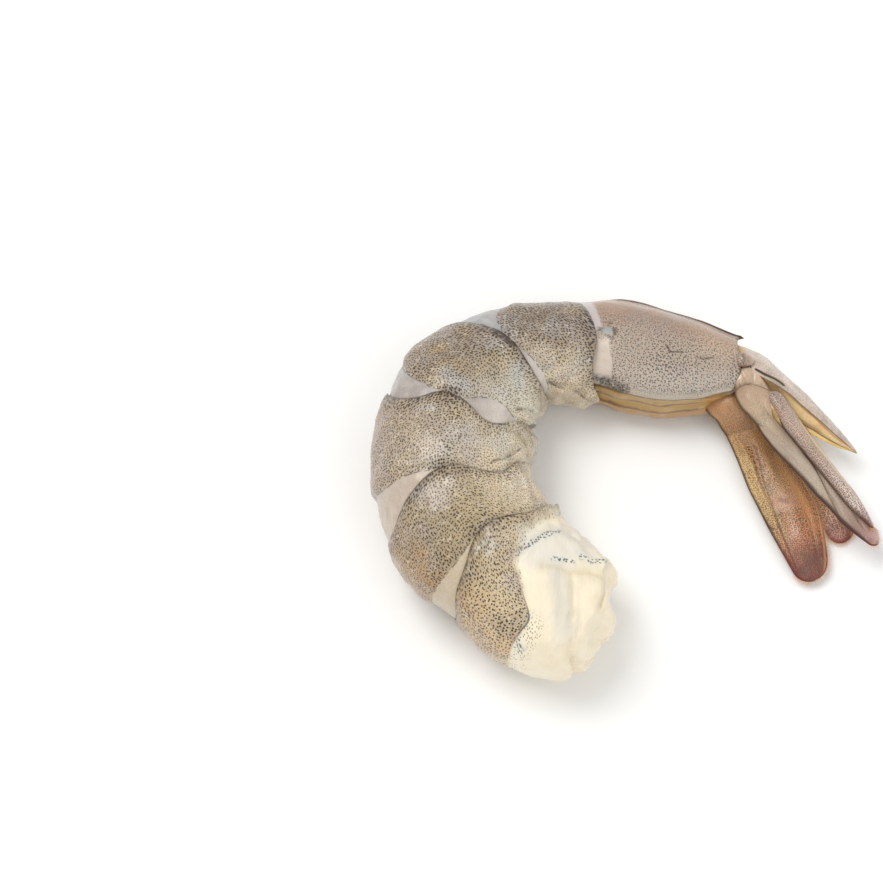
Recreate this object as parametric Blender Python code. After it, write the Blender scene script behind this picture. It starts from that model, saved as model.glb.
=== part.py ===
"""A raw tiger prawn, headless and peeled with its tail left on, curled and lying on its right side.

+Z is up and the prawn's left side faces up. Its back is on the outside of the curl, towards -X and
then +Y, and its tail fan points to +X. The origin is under the middle of the whole, on the surface
that it rests on. Sizes below are in millimetres and degrees.
"""

import math
from collections import namedtuple
from functools import partial

import bmesh
import bpy
from mathutils import Vector

MM = 0.001
GAP = 0.35  # free space between the peeled muscle and the last shell
MIDDLE_X = 1.07  # the middle of the whole, in the frame that the sizes below are given in
MIDDLE_Y = -3.12

# The muscle and the last shell are lofted through stations, each one a cross-section that stands on
# the table. x and y place its centre. lean is the way from the back to the belly, seen from above.
# depth runs from back to belly, and width from the lower to the upper side. bow is how far the edge
# reaches towards the tail at mid-height, where the shells were hinged.
Station = namedtuple("Station", "x y lean depth width bow")
CUT_END = Station(-4.9, -22.9, 66.0, 17.4, 16.4, 0.6)
FIRST_EDGE = Station(-11.6, -18.9, 70.0, 21.4, 18.6, 1.0)
MUSCLE_STATIONS = [
    CUT_END,
    FIRST_EDGE,
    Station(-15.2, -15.4, 51.0, 20.8, 19.4, 3.4),
    Station(-21.8, -7.2, 31.0, 22.4, 19.6, 2.6),
    Station(-22.2, 6.4, -15.0, 20.2, 17.8, -0.2),
    Station(-15.8, 14.4, -46.0, 16.2, 15.4, 1.4),
    Station(-2.6, 16.3, -81.5, 14.4, 13.2, 0.6),
]
SHELL_STATIONS = [
    Station(-2.6, 16.3, -81.5, 14.2, 12.6, 0.6),
    Station(2.2, 16.1, -87.0, 15.4, 12.6, 0.3),
    Station(6.8, 15.6, -93.0, 15.2, 12.0, 0.2),
    Station(11.4, 15.1, -99.0, 13.6, 11.0, 0.4),
    Station(15.8, 14.4, -106.0, 10.6, 9.4, 1.2),
]

TABLE_PRESS = 0.06  # share of the half width that the soft underside is pressed flat by
SQUARENESS = 2.25  # exponent of the cross-section, where 2 is an ellipse

# Each peeled segment swells between its edges, and its rear edge stands proud of the next one. The
# first entry of each list is the bare flesh in front of the first edge.
RINGS_PER_SEGMENT = (5, 6, 9, 9, 8, 9)
POINTS_AROUND = 36
BACK_SWELL = 0.45
BELLY_SWELL = (0.0, 0.5, -1.3, 0.7, 1.1, 0.1)
SIDE_SWELL = 0.35
SWELL_FULLNESS = 0.8  # exponent that fills the swelling out towards the segment's edges
EDGE_STEP = 0.55
EDGE_STEP_SPAN = 0.3  # share of the segment's length that comes out from under the edge before it

# The cut end is a rough dome: rings of these shares of the rim, each pushed forward.
CUT_RINGS = ((0.28, 3.1), (0.55, 2.7), (0.78, 1.9), (0.93, 1.0))
CUT_CENTRE_RISE = 0.2
CUT_LUMP = 0.5  # three lobes, where the muscle has parted round the rim
FLESH_LUMP = 0.2
LOBES = 3
LOBE_TURN = 0.6
REAR_DIMPLE = 0.4  # how deep the middle of each face lies where muscle and shell meet

KEEL_HEIGHT = 0.9
KEEL_SPREAD = 9.0
SPINE_REACH = (0.9, -0.5)
SHELL_RINGS = 13
SHELL_POINTS = 32
BELLY_STRIP_ANGLE = 140.0  # from the back, past which only the soft belly skin covers the muscle
BELLY_INSET = 0.55
SHELL_REAR_RISE = 0.6

# A tail plate runs from its root to its tip. roll turns its face, where 0 faces up and 90 faces the
# back. outer and inner are its widths to each side of the line from root to tip. arch lifts its
# middle, blunt is the share of its length over which the tip rounds off, and narrow is its width at
# the root as a share of its widest.
Plate = namedtuple("Plate", "root tip roll outer inner thick arch blunt narrow")
RIGHT_EXOPOD = Plate((15.6, 6.2, 2.6), (25.8, -15.7, 1.3), 2.0, 1.8, 5.7, 0.95, 0.6, 0.34, 0.58)
RIGHT_ENDOPOD = Plate((18.3, 6.8, 1.25), (31.5, -10.6, 0.65), 6.0, 2.6, 3.4, 0.9, 0.1, 0.34, 0.45)
LEFT_EXOPOD = Plate((19.9, 5.2, 7.4), (35.6, -11.6, 4.9), 46.0, 1.4, 4.2, 1.0, 0.3, 0.2, 0.52)
LEFT_ENDOPOD = Plate((22.2, 6.5, 6.9), (35.0, -8.8, 5.6), 42.0, 1.3, 3.0, 0.9, 0.3, 0.2, 0.52)
PLATE_RINGS = 13
PLATE_POINTS = 14
PLATE_END = 0.985  # share of the length where the last ring lies
PLATE_WIDEST = 0.66  # share of the length from the root
PLATE_THINNING = 0.45  # how much of its thickness is gone at the tip
RIB_SIDE = -0.7  # the stiff rib lies near the outer margin, at this share of the half width
RIB_SPREAD = 0.25
RIB_HEIGHT = 0.5
LEAST_HALF = 0.12

TELSON_ROOT = (18.5, 14.8, 4.9)
TELSON_TIP = (33.4, 2.4, 4.7)
TELSON_WIDTH = 7.4
TELSON_DEPTH = 4.0
TELSON_ARCH = 1.1
TELSON_ROLL = 10.0  # how far its belly face is turned up
TELSON_POINTINESS = 0.8
TELSON_ROOT_WIDTH = 0.86  # these three are shares of its full width
TELSON_BULGE = 0.5
TELSON_TIP_WIDTH = 0.05
TELSON_THINNING = 0.75  # how much of its depth is gone at the tip
# From the ridge along its back, over one edge, to the middle of its belly face: height and side, as
# shares of half the depth and half the width.
TELSON_SECTION = ((1.0, 0.0), (0.75, 0.55), (-0.15, 1.0), (-0.55, 0.85), (-0.42, 0.0))

# A tail base is a short joint from one point to another.
Base = namedtuple("Base", "start end wide deep")
LEFT_BASE = Base((16.9, 11.1, 7.2), (21.7, 7.1, 8.0), 5.8, 2.8)
RIGHT_BASE = Base((15.7, 9.6, 2.8), (16.4, 7.4, 2.6), 4.6, 2.2)
BASE_RINGS = 7
BASE_POINTS = 12
BASE_NARROW = 0.62
BASE_CAP_RISE = (0.5, 0.3)

MUSCLE_CREAM = (0.62, 0.53, 0.40)
SHELL_GREY = (0.35, 0.28, 0.21)
TELSON_YELLOW = (0.48, 0.36, 0.20)
BASE_TAN = (0.46, 0.34, 0.24)
TAIL_BROWN = (0.33, 0.20, 0.12)
WET_FLESH = 0.4
WET_SHELL = 0.3

UP = Vector((0.0, 0.0, 1.0))


def clear_scene():
    for thing in list(bpy.data.objects):
        bpy.data.objects.remove(thing)


def material(name, colour, roughness):
    made = bpy.data.materials.new(name)
    made.use_nodes = True
    shader = made.node_tree.nodes["Principled BSDF"]
    shader.inputs["Base Color"].default_value = (*colour, 1.0)
    shader.inputs["Roughness"].default_value = roughness
    shader.inputs["Metallic"].default_value = 0.0
    return made


def middle_of(points):
    return sum(points, Vector()) / len(points)


def loft(name, rings, finish, cap_rise=(0.0, 0.0)):
    """One closed body through rings of points, capped at both ends by a fan round a middle point.
    cap_rise moves each middle point outwards along the loft."""
    mesh = bmesh.new()
    rows = [[mesh.verts.new(point * MM) for point in ring] for ring in rings]
    count = len(rows[0])
    for near, far in zip(rows, rows[1:]):
        for i in range(count):
            j = (i + 1) % count
            mesh.faces.new((near[i], near[j], far[j], far[i]))
    ends = ((rows[0], rings[0], rings[1], cap_rise[0]), (rows[-1], rings[-1], rings[-2], cap_rise[1]))
    for row, ring, inside, rise in ends:
        outwards = (middle_of(ring) - middle_of(inside)).normalized()
        hub = mesh.verts.new((middle_of(ring) + outwards * rise) * MM)
        for i in range(count):
            mesh.faces.new((row[i], row[(i + 1) % count], hub))
    bmesh.ops.recalc_face_normals(mesh, faces=mesh.faces)
    data = bpy.data.meshes.new(name)
    mesh.to_mesh(data)
    mesh.free()
    data.shade_smooth()
    data.materials.append(finish)
    made = bpy.data.objects.new(name, data)
    bpy.context.scene.collection.objects.link(made)
    return made


def press_on_table(body):
    """Slices off what would reach below the surface, which leaves the flat that it rests on."""
    mesh = bmesh.new()
    mesh.from_mesh(body.data)
    everything = mesh.verts[:] + mesh.edges[:] + mesh.faces[:]
    cut = bmesh.ops.bisect_plane(
        mesh, geom=everything, dist=1e-7, plane_co=(0, 0, 0), plane_no=-UP, clear_outer=True
    )
    rim = [part for part in cut["geom_cut"] if isinstance(part, bmesh.types.BMEdge)]
    bmesh.ops.edgenet_fill(mesh, edges=rim)
    bmesh.ops.recalc_face_normals(mesh, faces=mesh.faces)
    mesh.to_mesh(body.data)
    mesh.free()


def between(values, where):
    """A smooth curve through evenly spaced values, read at where, counted in stations."""
    last = len(values) - 1
    i = min(max(int(where), 0), last - 1)
    share = where - i
    a, b = values[i], values[i + 1]
    before = values[i - 1] if i else a + (a - b)
    after = values[i + 2] if i + 2 <= last else b + (b - a)
    slope_a, slope_b = (b - before) / 2, (after - a) / 2
    s2, s3 = share**2, share**3
    return (
        (2 * s3 - 3 * s2 + 1) * a
        + (s3 - 2 * s2 + share) * slope_a
        + (3 * s2 - 2 * s3) * b
        + (s3 - s2) * slope_b
    )


def station_at(stations, where):
    return Station(*(between(list(column), where) for column in zip(*stations)))


def belly_way(station):
    lean = math.radians(station.lean)
    return Vector((math.cos(lean), math.sin(lean), 0.0))


def tail_way(station):
    return UP.cross(belly_way(station))


def ring_of(station, count, grow):
    """The points round a station, from the back over the upper side. grow(angle) is how far each
    stands out from the plain section."""
    half_width = station.width / 2
    centre = Vector((station.x, station.y, half_width * (1 - TABLE_PRESS)))
    points = []
    for i in range(count):
        angle = 2 * math.pi * i / count
        c, s = math.cos(angle), math.sin(angle)
        backwards = math.copysign(abs(c) ** (2 / SQUARENESS), c)
        upwards = math.copysign(abs(s) ** (2 / SQUARENESS), s)
        out = grow(angle)
        points.append(
            centre
            - belly_way(station) * backwards * (station.depth / 2 + out)
            + UP * upwards * (half_width + out)
            + tail_way(station) * station.bow * s * s
        )
    return points


def segment_swell(segment, share, angle):
    """How far a peeled segment stands out at this share of its length."""
    if segment == 0:
        return FLESH_LUMP * math.sin(LOBES * angle)
    c, s = math.cos(angle), math.sin(angle)
    swell = SIDE_SWELL * s * s
    swell += BACK_SWELL * c * c if c > 0 else BELLY_SWELL[segment] * c * c
    tucked = EDGE_STEP * max(1 - share / EDGE_STEP_SPAN, 0.0) ** 2
    return swell * math.sin(math.pi * share) ** SWELL_FULLNESS - tucked


def cut_rings():
    rim = ring_of(CUT_END, POINTS_AROUND, lambda angle: 0.0)
    middle = middle_of(rim)
    rings = []
    for share, push in CUT_RINGS:
        ring = []
        for i, point in enumerate(rim):
            lump = CUT_LUMP * math.sin(LOBES * 2 * math.pi * i / len(rim) + LOBE_TURN)
            ring.append(middle + (point - middle) * share - tail_way(CUT_END) * (push + lump * share))
        rings.append(ring)
    return rings


def make_muscle():
    """The peeled muscle of five segments, all one piece, from the cut end to the last shell."""
    rings = cut_rings()
    for segment, count in enumerate(RINGS_PER_SEGMENT):
        for k in range(count):
            share = k / (count - 1)
            station = station_at(MUSCLE_STATIONS, segment + share)
            rings.append(ring_of(station, POINTS_AROUND, partial(segment_swell, segment, share)))
    finish = material("peeled_muscle", MUSCLE_CREAM, WET_FLESH)
    muscle = loft("peeled_muscle", rings, finish, cap_rise=(CUT_CENTRE_RISE, -REAR_DIMPLE))
    press_on_table(muscle)
    return muscle


def shell_growth(share, angle):
    """The keel along the back, and the soft belly skin that lies in from the shell's lower edge."""
    from_back = math.degrees(math.remainder(angle, 2 * math.pi))
    keel = KEEL_HEIGHT * math.exp(-((from_back / KEEL_SPREAD) ** 2)) * math.sqrt(math.sin(math.pi * share))
    inset = BELLY_INSET if abs(from_back) > BELLY_STRIP_ANGLE else 0.0
    return keel - inset


def make_last_shell():
    """The sixth segment, still in its shell, with a keel that ends in a small spine."""
    step_back = tail_way(SHELL_STATIONS[0]) * GAP
    rings = []
    for k in range(SHELL_RINGS):
        share = k / (SHELL_RINGS - 1)
        station = station_at(SHELL_STATIONS, share * (len(SHELL_STATIONS) - 1))
        ring = ring_of(station, SHELL_POINTS, partial(shell_growth, share))
        rings.append([point + step_back for point in ring])
    rings[-1][0] += Vector((*SPINE_REACH, 0.0))
    finish = material("last_shell", SHELL_GREY, WET_SHELL)
    shell = loft("last_shell", rings, finish, cap_rise=(-REAR_DIMPLE, SHELL_REAR_RISE))
    press_on_table(shell)
    return shell


def plate_half(plate, share):
    """Half width of a tail plate along its length, as a share of its widest."""
    widening = 0.5 - 0.5 * math.cos(math.pi * min(share / PLATE_WIDEST, 1.0))
    from_tip = min((1 - share) / plate.blunt, 1.0)
    rounding = math.sqrt(1 - (1 - from_tip) ** 2)
    return max((plate.narrow + (1 - plate.narrow) * widening) * rounding, LEAST_HALF)


def make_plate(name, plate):
    """One flat ray of the tail fan, with a stiff rib beside its outer margin."""
    root, tip = Vector(plate.root), Vector(plate.tip)
    along = (tip - root).normalized()
    sideways = UP.cross(along).normalized()
    roll = math.radians(plate.roll)
    inward = sideways * math.cos(roll) - along.cross(sideways) * math.sin(roll)
    face = along.cross(inward)
    rings = []
    for k in range(PLATE_RINGS):
        share = PLATE_END * k / (PLATE_RINGS - 1)
        half = plate_half(plate, share)
        middle = root.lerp(tip, share) + face * plate.arch * math.sin(math.pi * share)
        thick = plate.thick * (1 - PLATE_THINNING * share)
        ring = []
        for i in range(PLATE_POINTS):
            angle = 2 * math.pi * i / PLATE_POINTS
            side = math.cos(angle)
            reach = (plate.inner if side > 0 else plate.outer) * side * half
            rib = 1 + RIB_HEIGHT * math.exp(-(((side - RIB_SIDE) / RIB_SPREAD) ** 2))
            ring.append(middle + inward * reach + face * thick / 2 * math.sin(angle) * rib)
        rings.append(ring)
    return loft(name, rings, material(name, TAIL_BROWN, WET_SHELL))


def make_telson():
    """The pointed middle piece of the tail: a spike with a ridge along its back and a flat belly."""
    root, tip = Vector(TELSON_ROOT), Vector(TELSON_TIP)
    along = (tip - root).normalized()
    roll = math.radians(TELSON_ROLL)
    level_back = UP.cross(along).normalized()
    back = level_back * math.cos(roll) - UP * math.sin(roll)
    left = UP * math.cos(roll) + level_back * math.sin(roll)
    other_side = [(rise, -side) for rise, side in reversed(TELSON_SECTION[1:-1])]
    rings = []
    for k in range(PLATE_RINGS):
        share = k / (PLATE_RINGS - 1)
        swell = math.sin(math.pi * share)
        fullness = (TELSON_ROOT_WIDTH + TELSON_BULGE * swell**2) * (1 - share) ** TELSON_POINTINESS
        half_width = TELSON_WIDTH / 2 * (fullness + TELSON_TIP_WIDTH)
        half_depth = TELSON_DEPTH / 2 * (1 - TELSON_THINNING * share)
        middle = root.lerp(tip, share) + back * TELSON_ARCH * swell
        rings.append(
            [
                middle + back * rise * half_depth + left * side * half_width
                for rise, side in [*TELSON_SECTION, *other_side]
            ]
        )
    return loft("telson", rings, material("telson", TELSON_YELLOW, WET_SHELL))


def make_base(name, base):
    """The short joint that carries one side's two plates."""
    start, end = Vector(base.start), Vector(base.end)
    along = (end - start).normalized()
    sideways = UP.cross(along).normalized()
    face = along.cross(sideways)
    rings = []
    for k in range(BASE_RINGS):
        share = k / (BASE_RINGS - 1)
        size = BASE_NARROW + (1 - BASE_NARROW) * math.sin(math.pi * share)
        ring = []
        for i in range(BASE_POINTS):
            angle = 2 * math.pi * i / BASE_POINTS
            across = sideways * base.wide / 2 * math.cos(angle) + face * base.deep / 2 * math.sin(angle)
            ring.append(start.lerp(end, share) + across * size)
        rings.append(ring)
    return loft(name, rings, material(name, BASE_TAN, WET_SHELL), cap_rise=BASE_CAP_RISE)


def main():
    clear_scene()
    pieces = [
        make_muscle(),
        make_last_shell(),
        make_telson(),
        make_base("left_tail_base", LEFT_BASE),
        make_base("right_tail_base", RIGHT_BASE),
        make_plate("right_exopod", RIGHT_EXOPOD),
        make_plate("right_endopod", RIGHT_ENDOPOD),
        make_plate("left_exopod", LEFT_EXOPOD),
        make_plate("left_endopod", LEFT_ENDOPOD),
    ]
    prawn = bpy.data.objects.new("prawn", None)
    bpy.context.scene.collection.objects.link(prawn)
    prawn.location = Vector((-MIDDLE_X, -MIDDLE_Y, 0.0)) * MM
    for piece in pieces:
        piece.parent = prawn


if __name__ == "__main__":
    main()
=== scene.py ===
import math

import bpy
import numpy as np
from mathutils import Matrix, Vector, noise


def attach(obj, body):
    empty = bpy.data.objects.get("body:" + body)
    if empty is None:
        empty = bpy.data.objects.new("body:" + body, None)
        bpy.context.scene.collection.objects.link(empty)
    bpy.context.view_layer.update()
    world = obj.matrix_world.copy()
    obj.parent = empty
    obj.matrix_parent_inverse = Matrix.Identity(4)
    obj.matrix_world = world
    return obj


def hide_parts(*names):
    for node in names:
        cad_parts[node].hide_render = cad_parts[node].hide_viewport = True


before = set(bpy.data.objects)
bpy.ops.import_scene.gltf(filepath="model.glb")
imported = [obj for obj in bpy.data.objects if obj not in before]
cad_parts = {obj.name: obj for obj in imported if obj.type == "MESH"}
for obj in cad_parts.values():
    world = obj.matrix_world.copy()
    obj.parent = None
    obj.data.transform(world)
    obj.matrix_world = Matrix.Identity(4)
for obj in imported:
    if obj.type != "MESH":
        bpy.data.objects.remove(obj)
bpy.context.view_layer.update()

mm = 0.001


# shape helpers, all in millimetres

def rise(low, high, value):  # 0 below low, 1 above high, smooth between
    share = np.clip((value - low) / (high - low), 0, 1)
    return share * share * (3 - 2 * share)


def bump(value, middle, spread):
    return np.exp(-(((value - middle) / spread) ** 2))


def curveThrough(values, where, mirrored=False):  # a smooth curve through evenly spaced values
    values = np.asarray(values, float)
    last = len(values) - 1
    ends = (values[1], values[-2]) if mirrored else (2 * values[0] - values[1], 2 * values[-1] - values[-2])
    padded = np.concatenate([[ends[0]], values, [ends[1]]])
    first = np.clip(np.floor(where).astype(int), 0, last - 1)
    share = (where - first).reshape(np.shape(where) + (1,) * (values.ndim - 1))
    before, near, far, after = (padded[first + k] for k in range(4))
    s2, s3 = share**2, share**3
    return (
        (2 * s3 - 3 * s2 + 1) * near
        + (s3 - 2 * s2 + share) * (far - before) / 2
        + (3 * s2 - 2 * s3) * far
        + (s3 - s2) * (after - near) / 2
    )


def fromBack(angle):  # 0 at the back, pi at the belly, on either side
    return np.abs((angle + math.pi) % (2 * math.pi) - math.pi)


def roundCurve(values, angle):  # values at even steps from the back to the belly
    return curveThrough(values, fromBack(angle) / math.pi * (len(values) - 1), mirrored=True)


def lumps(places, size):  # smooth noise of about plus or minus one, with lumps of this size
    flat = places.reshape(-1, 3) / size
    return np.array([noise.noise(Vector(p)) for p in flat]).reshape(places.shape[:-1]) * 1.6


def distanceTo(places, line):  # to a line of points that lie on the surface
    nearest = np.full(places.shape[:-1], 1e9)
    for a, b in zip(line, line[1:]):
        along = b - a
        share = np.clip(((places - a) @ along) / max(along @ along, 1e-9), 0, 1)
        nearest = np.minimum(nearest, np.linalg.norm(places - a - share[..., None] * along, axis=-1))
    return nearest


def evenRows(count, crowding=0.5):  # shares from 0 to 1, closer together near both ends
    share = np.linspace(0, 1, count)
    return (1 - crowding) * share + crowding * (0.5 - 0.5 * np.cos(math.pi * share))


def runAlong(places, axis):  # the way run so far along the rows or the columns
    start = places[:, :1] if axis else places[:1]
    return np.cumsum(np.linalg.norm(np.diff(places, axis=axis, prepend=start), axis=-1), axis=axis)


def unit(ways):
    return ways / np.linalg.norm(ways, axis=-1, keepdims=True)


def closeEnds(places, marks):  # a point in the middle at each end of a tube of places
    first, last = (np.broadcast_to(places[k].mean(0), places[:1].shape) for k in (0, -1))
    marks = {mark: np.concatenate([values[:1], values, values[-1:]]) for mark, values in marks.items()}
    return np.concatenate([first, places, last]), marks


def wrapGrid(name, places, marks):  # a grid laid on rows of places, its seam and poles merged
    rows, columns = places.shape[:2]
    marks = {"length": runAlong(places, 0), "girth": runAlong(places, 1), **marks}
    bpy.ops.object.select_all(action="DESELECT")
    bpy.ops.mesh.primitive_grid_add(x_subdivisions=columns - 1, y_subdivisions=rows - 1, size=0.05)
    piece = bpy.context.object
    piece.name = piece.data.name = name
    piece.data.vertices.foreach_set("co", (places * mm).ravel())
    for mark, values in marks.items():
        spread = np.broadcast_to(np.asarray(values, float), (rows, columns))
        piece.data.attributes.new(mark, "FLOAT", "POINT").data.foreach_set("value", spread.ravel())
    bpy.ops.object.mode_set(mode="EDIT")
    bpy.ops.mesh.select_all(action="SELECT")
    bpy.ops.mesh.remove_doubles(threshold=2e-6)
    bpy.ops.mesh.normals_make_consistent(inside=False)
    bpy.ops.object.mode_set(mode="OBJECT")
    bpy.ops.object.shade_smooth()
    return piece


def settle(piece, paint, node=None):  # its paint and the CAD node it stands for
    piece.data.materials.append(paint)
    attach(piece, "root")
    if node:
        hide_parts(node)


def tone(red, green, blue):  # a colour as a screen shows it, 0 to 255
    shares = [v / 255 for v in (red, green, blue)]
    return tuple(v / 12.92 if v <= 0.04045 else ((v + 0.055) / 1.055) ** 2.4 for v in shares) + (1.0,)


# shader helpers: a wire is one node output, and arithmetic on wires adds Math nodes

def arithmetic(operation, swapped=False):
    def apply(self, value):
        return self.maths(operation, *((value, self) if swapped else (self, value)))

    return apply


class Wire:
    def __init__(self, paint, socket):
        self.paint = paint
        self.socket = socket

    def maths(self, operation, *values):
        return self.paint.add("Math", {"operation": operation}, dict(enumerate(values)))

    __add__ = __radd__ = arithmetic("ADD")
    __sub__ = arithmetic("SUBTRACT")
    __rsub__ = arithmetic("SUBTRACT", True)
    __mul__ = __rmul__ = arithmetic("MULTIPLY")
    __truediv__ = arithmetic("DIVIDE")
    most = arithmetic("MAXIMUM")
    least = arithmetic("MINIMUM")

    def __abs__(self):
        return self.maths("ABSOLUTE", self)

    def rise(self, low, high):  # 0 at low, 1 at high, smooth between; high may be below low
        inputs = {"Value": self, "From Min": low, "From Max": high}
        return self.paint.add("MapRange", {"interpolation_type": "SMOOTHSTEP"}, inputs)

    def near(self, middle, spread):  # 1 at middle, 0 a spread away on either side
        return abs(self - middle).rise(spread, 0.0)

    def ramp(self, stops):  # (place, colour) pairs, or their name in the piece's dictionary
        stops = self.paint.look[stops] if isinstance(stops, str) else stops
        return self.paint.add("ValToRGB", {"stops": stops}, {"Fac": self}, "Color")


class Paint:  # one material and its nodes; colours are wires, names in the piece's dictionary, or 0 to 255
    def __init__(self, name, look=()):
        self.look = dict(look)
        self.material = bpy.data.materials.new(name)
        self.material.use_nodes = True
        self.tree = self.material.node_tree
        self.shader = self.tree.nodes["Principled BSDF"]
        self.place = self.add("TexCoord", out="Object")

    def add(self, kind, settings={}, inputs={}, out=0):
        node = self.tree.nodes.new("ShaderNode" + kind)
        for setting, value in settings.items():
            if setting == "stops":
                for _ in value[2:]:
                    node.color_ramp.elements.new(0.5)
                for element, (place, colour) in zip(node.color_ramp.elements, value):
                    element.position, element.color = place, self.toned(colour)
            else:
                setattr(node, setting, value)
        for key, value in inputs.items():
            self.feed(node.inputs[key], value)
        return Wire(self, node.outputs[out])

    def feed(self, socket, value):
        if isinstance(value, Wire):
            self.tree.links.new(value.socket, socket)
        else:
            socket.default_value = value

    def toned(self, colour):
        return colour if isinstance(colour, Wire) else tone(*self.look.get(colour, colour))

    def mark(self, name):  # a value that the mesh carries
        return self.add("Attribute", {"attribute_name": name}, out="Fac")

    def cloud(self, size, detail=3, roughness=0.55, place=None):  # noise about 0.5, size in millimetres
        inputs = {"Vector": place or self.place, "Scale": 1 / (size * mm)}
        return self.add("TexNoise", inputs={**inputs, "Detail": detail, "Roughness": roughness})

    def patches(self, size, low, high, detail=2):
        return self.cloud(size, detail).rise(low, high)

    def spots(self, size, radius, soft=0.08, loose=0.85):  # even dots on the skin, sizes in millimetres
        flat = self.add("CombineXYZ", {}, {0: self.mark("length"), 1: self.mark("girth")})
        inputs = {"Vector": flat, "Scale": 1 / size, "Randomness": loose}
        cells = self.add("TexVoronoi", {"voronoi_dimensions": "2D"}, inputs)
        return (radius - cells).rise(-soft, soft)

    def mix(self, share, under, over):
        inputs = {0: share, 6: self.toned(under), 7: self.toned(over)}
        return self.add("Mix", {"data_type": "RGBA"}, inputs, 2)

    def lay(self, share, colour):  # a further layer over what is there
        self.colour = self.mix(share, self.colour, colour)

    def stretch(self, turn, longer):  # patterns drawn out along a way, turned in degrees from x
        inputs = {"Vector": self.place, "Rotation": (0, 0, math.radians(turn)), "Scale": (longer, 1, 1)}
        return self.add("Mapping", {"vector_type": "TEXTURE"}, inputs)

    def finish(self, roughness, relief=None, height=0.05, coat=None, flesh=None, **fixed):
        pairs = {"Base Color": self.colour, "Roughness": roughness, **fixed}
        if coat:
            pairs["Coat Weight"], pairs["Coat Roughness"] = coat
        if flesh:
            pairs["Subsurface Weight"], pairs["Subsurface Scale"] = flesh[0], flesh[1] * mm
        if relief:
            inputs = {"Height": relief, "Distance": height * mm, "Strength": 1.0}
            pairs["Normal"] = self.add("Bump", {}, inputs)
        for name, value in pairs.items():
            self.feed(self.shader.inputs[name], value)
        return self.material


# the body is lofted through cross-sections that stand on the table: centre x and y, lean of the way
# from back to belly, depth along it, width, and bow towards the tail at the sides
body = {
    "muscle": [
        (-4.9, -22.9, 66, 17.4, 16.4, 0.6),
        (-11.6, -18.9, 70, 21.4, 18.6, 1.0),
        (-15.2, -15.4, 51, 20.8, 19.4, 3.4),
        (-21.8, -7.2, 31, 22.4, 19.6, 2.6),
        (-22.2, 6.4, -15, 20.2, 17.8, -0.2),
        (-15.8, 14.4, -46, 16.2, 15.4, 1.4),
        (-2.6, 16.3, -81.5, 14.4, 13.2, 0.6),
    ],
    "tail": [
        (-2.6, 16.3, -81.5, 14.2, 12.6, 0.6),
        (2.2, 16.1, -87, 15.4, 12.6, 0.3),
        (6.8, 15.6, -93, 15.2, 12.0, 0.2),
        (11.4, 15.1, -99, 13.6, 11.0, 0.4),
        (15.8, 14.4, -106, 10.6, 9.4, 1.2),
    ],
    "middle": (1.07, -3.12),
    "tablePress": 0.06,
    "squareness": 2.25,
    "softness": 0.3,
}


def sectionAt(stations, where):
    x, y, lean, depth, width, bow = (curveThrough(column, where) for column in zip(*stations))
    lean = np.radians(lean)
    belly = np.stack([np.cos(lean), np.sin(lean), 0 * lean], -1)
    tail = np.stack([-np.sin(lean), np.cos(lean), 0 * lean], -1)
    height = width / 2 * (1 - body["tablePress"])
    centre = np.stack([x - body["middle"][0], y - body["middle"][1], height], -1)
    return centre, belly, tail, depth / 2, width / 2, bow


def onTable(places):  # the underside settles softly on the table
    z = places[..., 2]
    places[..., 2] = (z + np.sqrt(z * z + body["softness"] ** 2)) / 2
    return places


def bodySurface(stations, where, angle, out=0.0, backwards=0.0):
    centre, belly, tail, halfDepth, halfWidth, bow = sectionAt(stations, where)
    c, s = np.cos(angle), np.sin(angle)
    power = 2 / body["squareness"]
    toBack = np.sign(c) * np.abs(c) ** power * (halfDepth + out)
    toTop = np.sign(s) * np.abs(s) ** power * (halfWidth + out)
    places = centre - belly * toBack[..., None] + tail * (bow * s * s + backwards)[..., None]
    places[..., 2] += toTop
    return places


def lineOn(stations, marks):  # a line through (place along the body, degrees round it)
    where, degrees = (np.array(column, float) for column in zip(*marks))
    steps = np.linspace(0, len(marks) - 1, 6 * len(marks))
    knots = np.arange(len(marks))
    return bodySurface(stations, np.interp(steps, knots, where), np.radians(np.interp(steps, knots, degrees)))


def awayFrom(stations, places, look, names):  # how far each place is from the nearest line of each name
    return {
        name: np.minimum.reduce([distanceTo(places, lineOn(stations, line)) for line in look[name]])
        for name in names
    }


print("peeled muscle")

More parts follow.
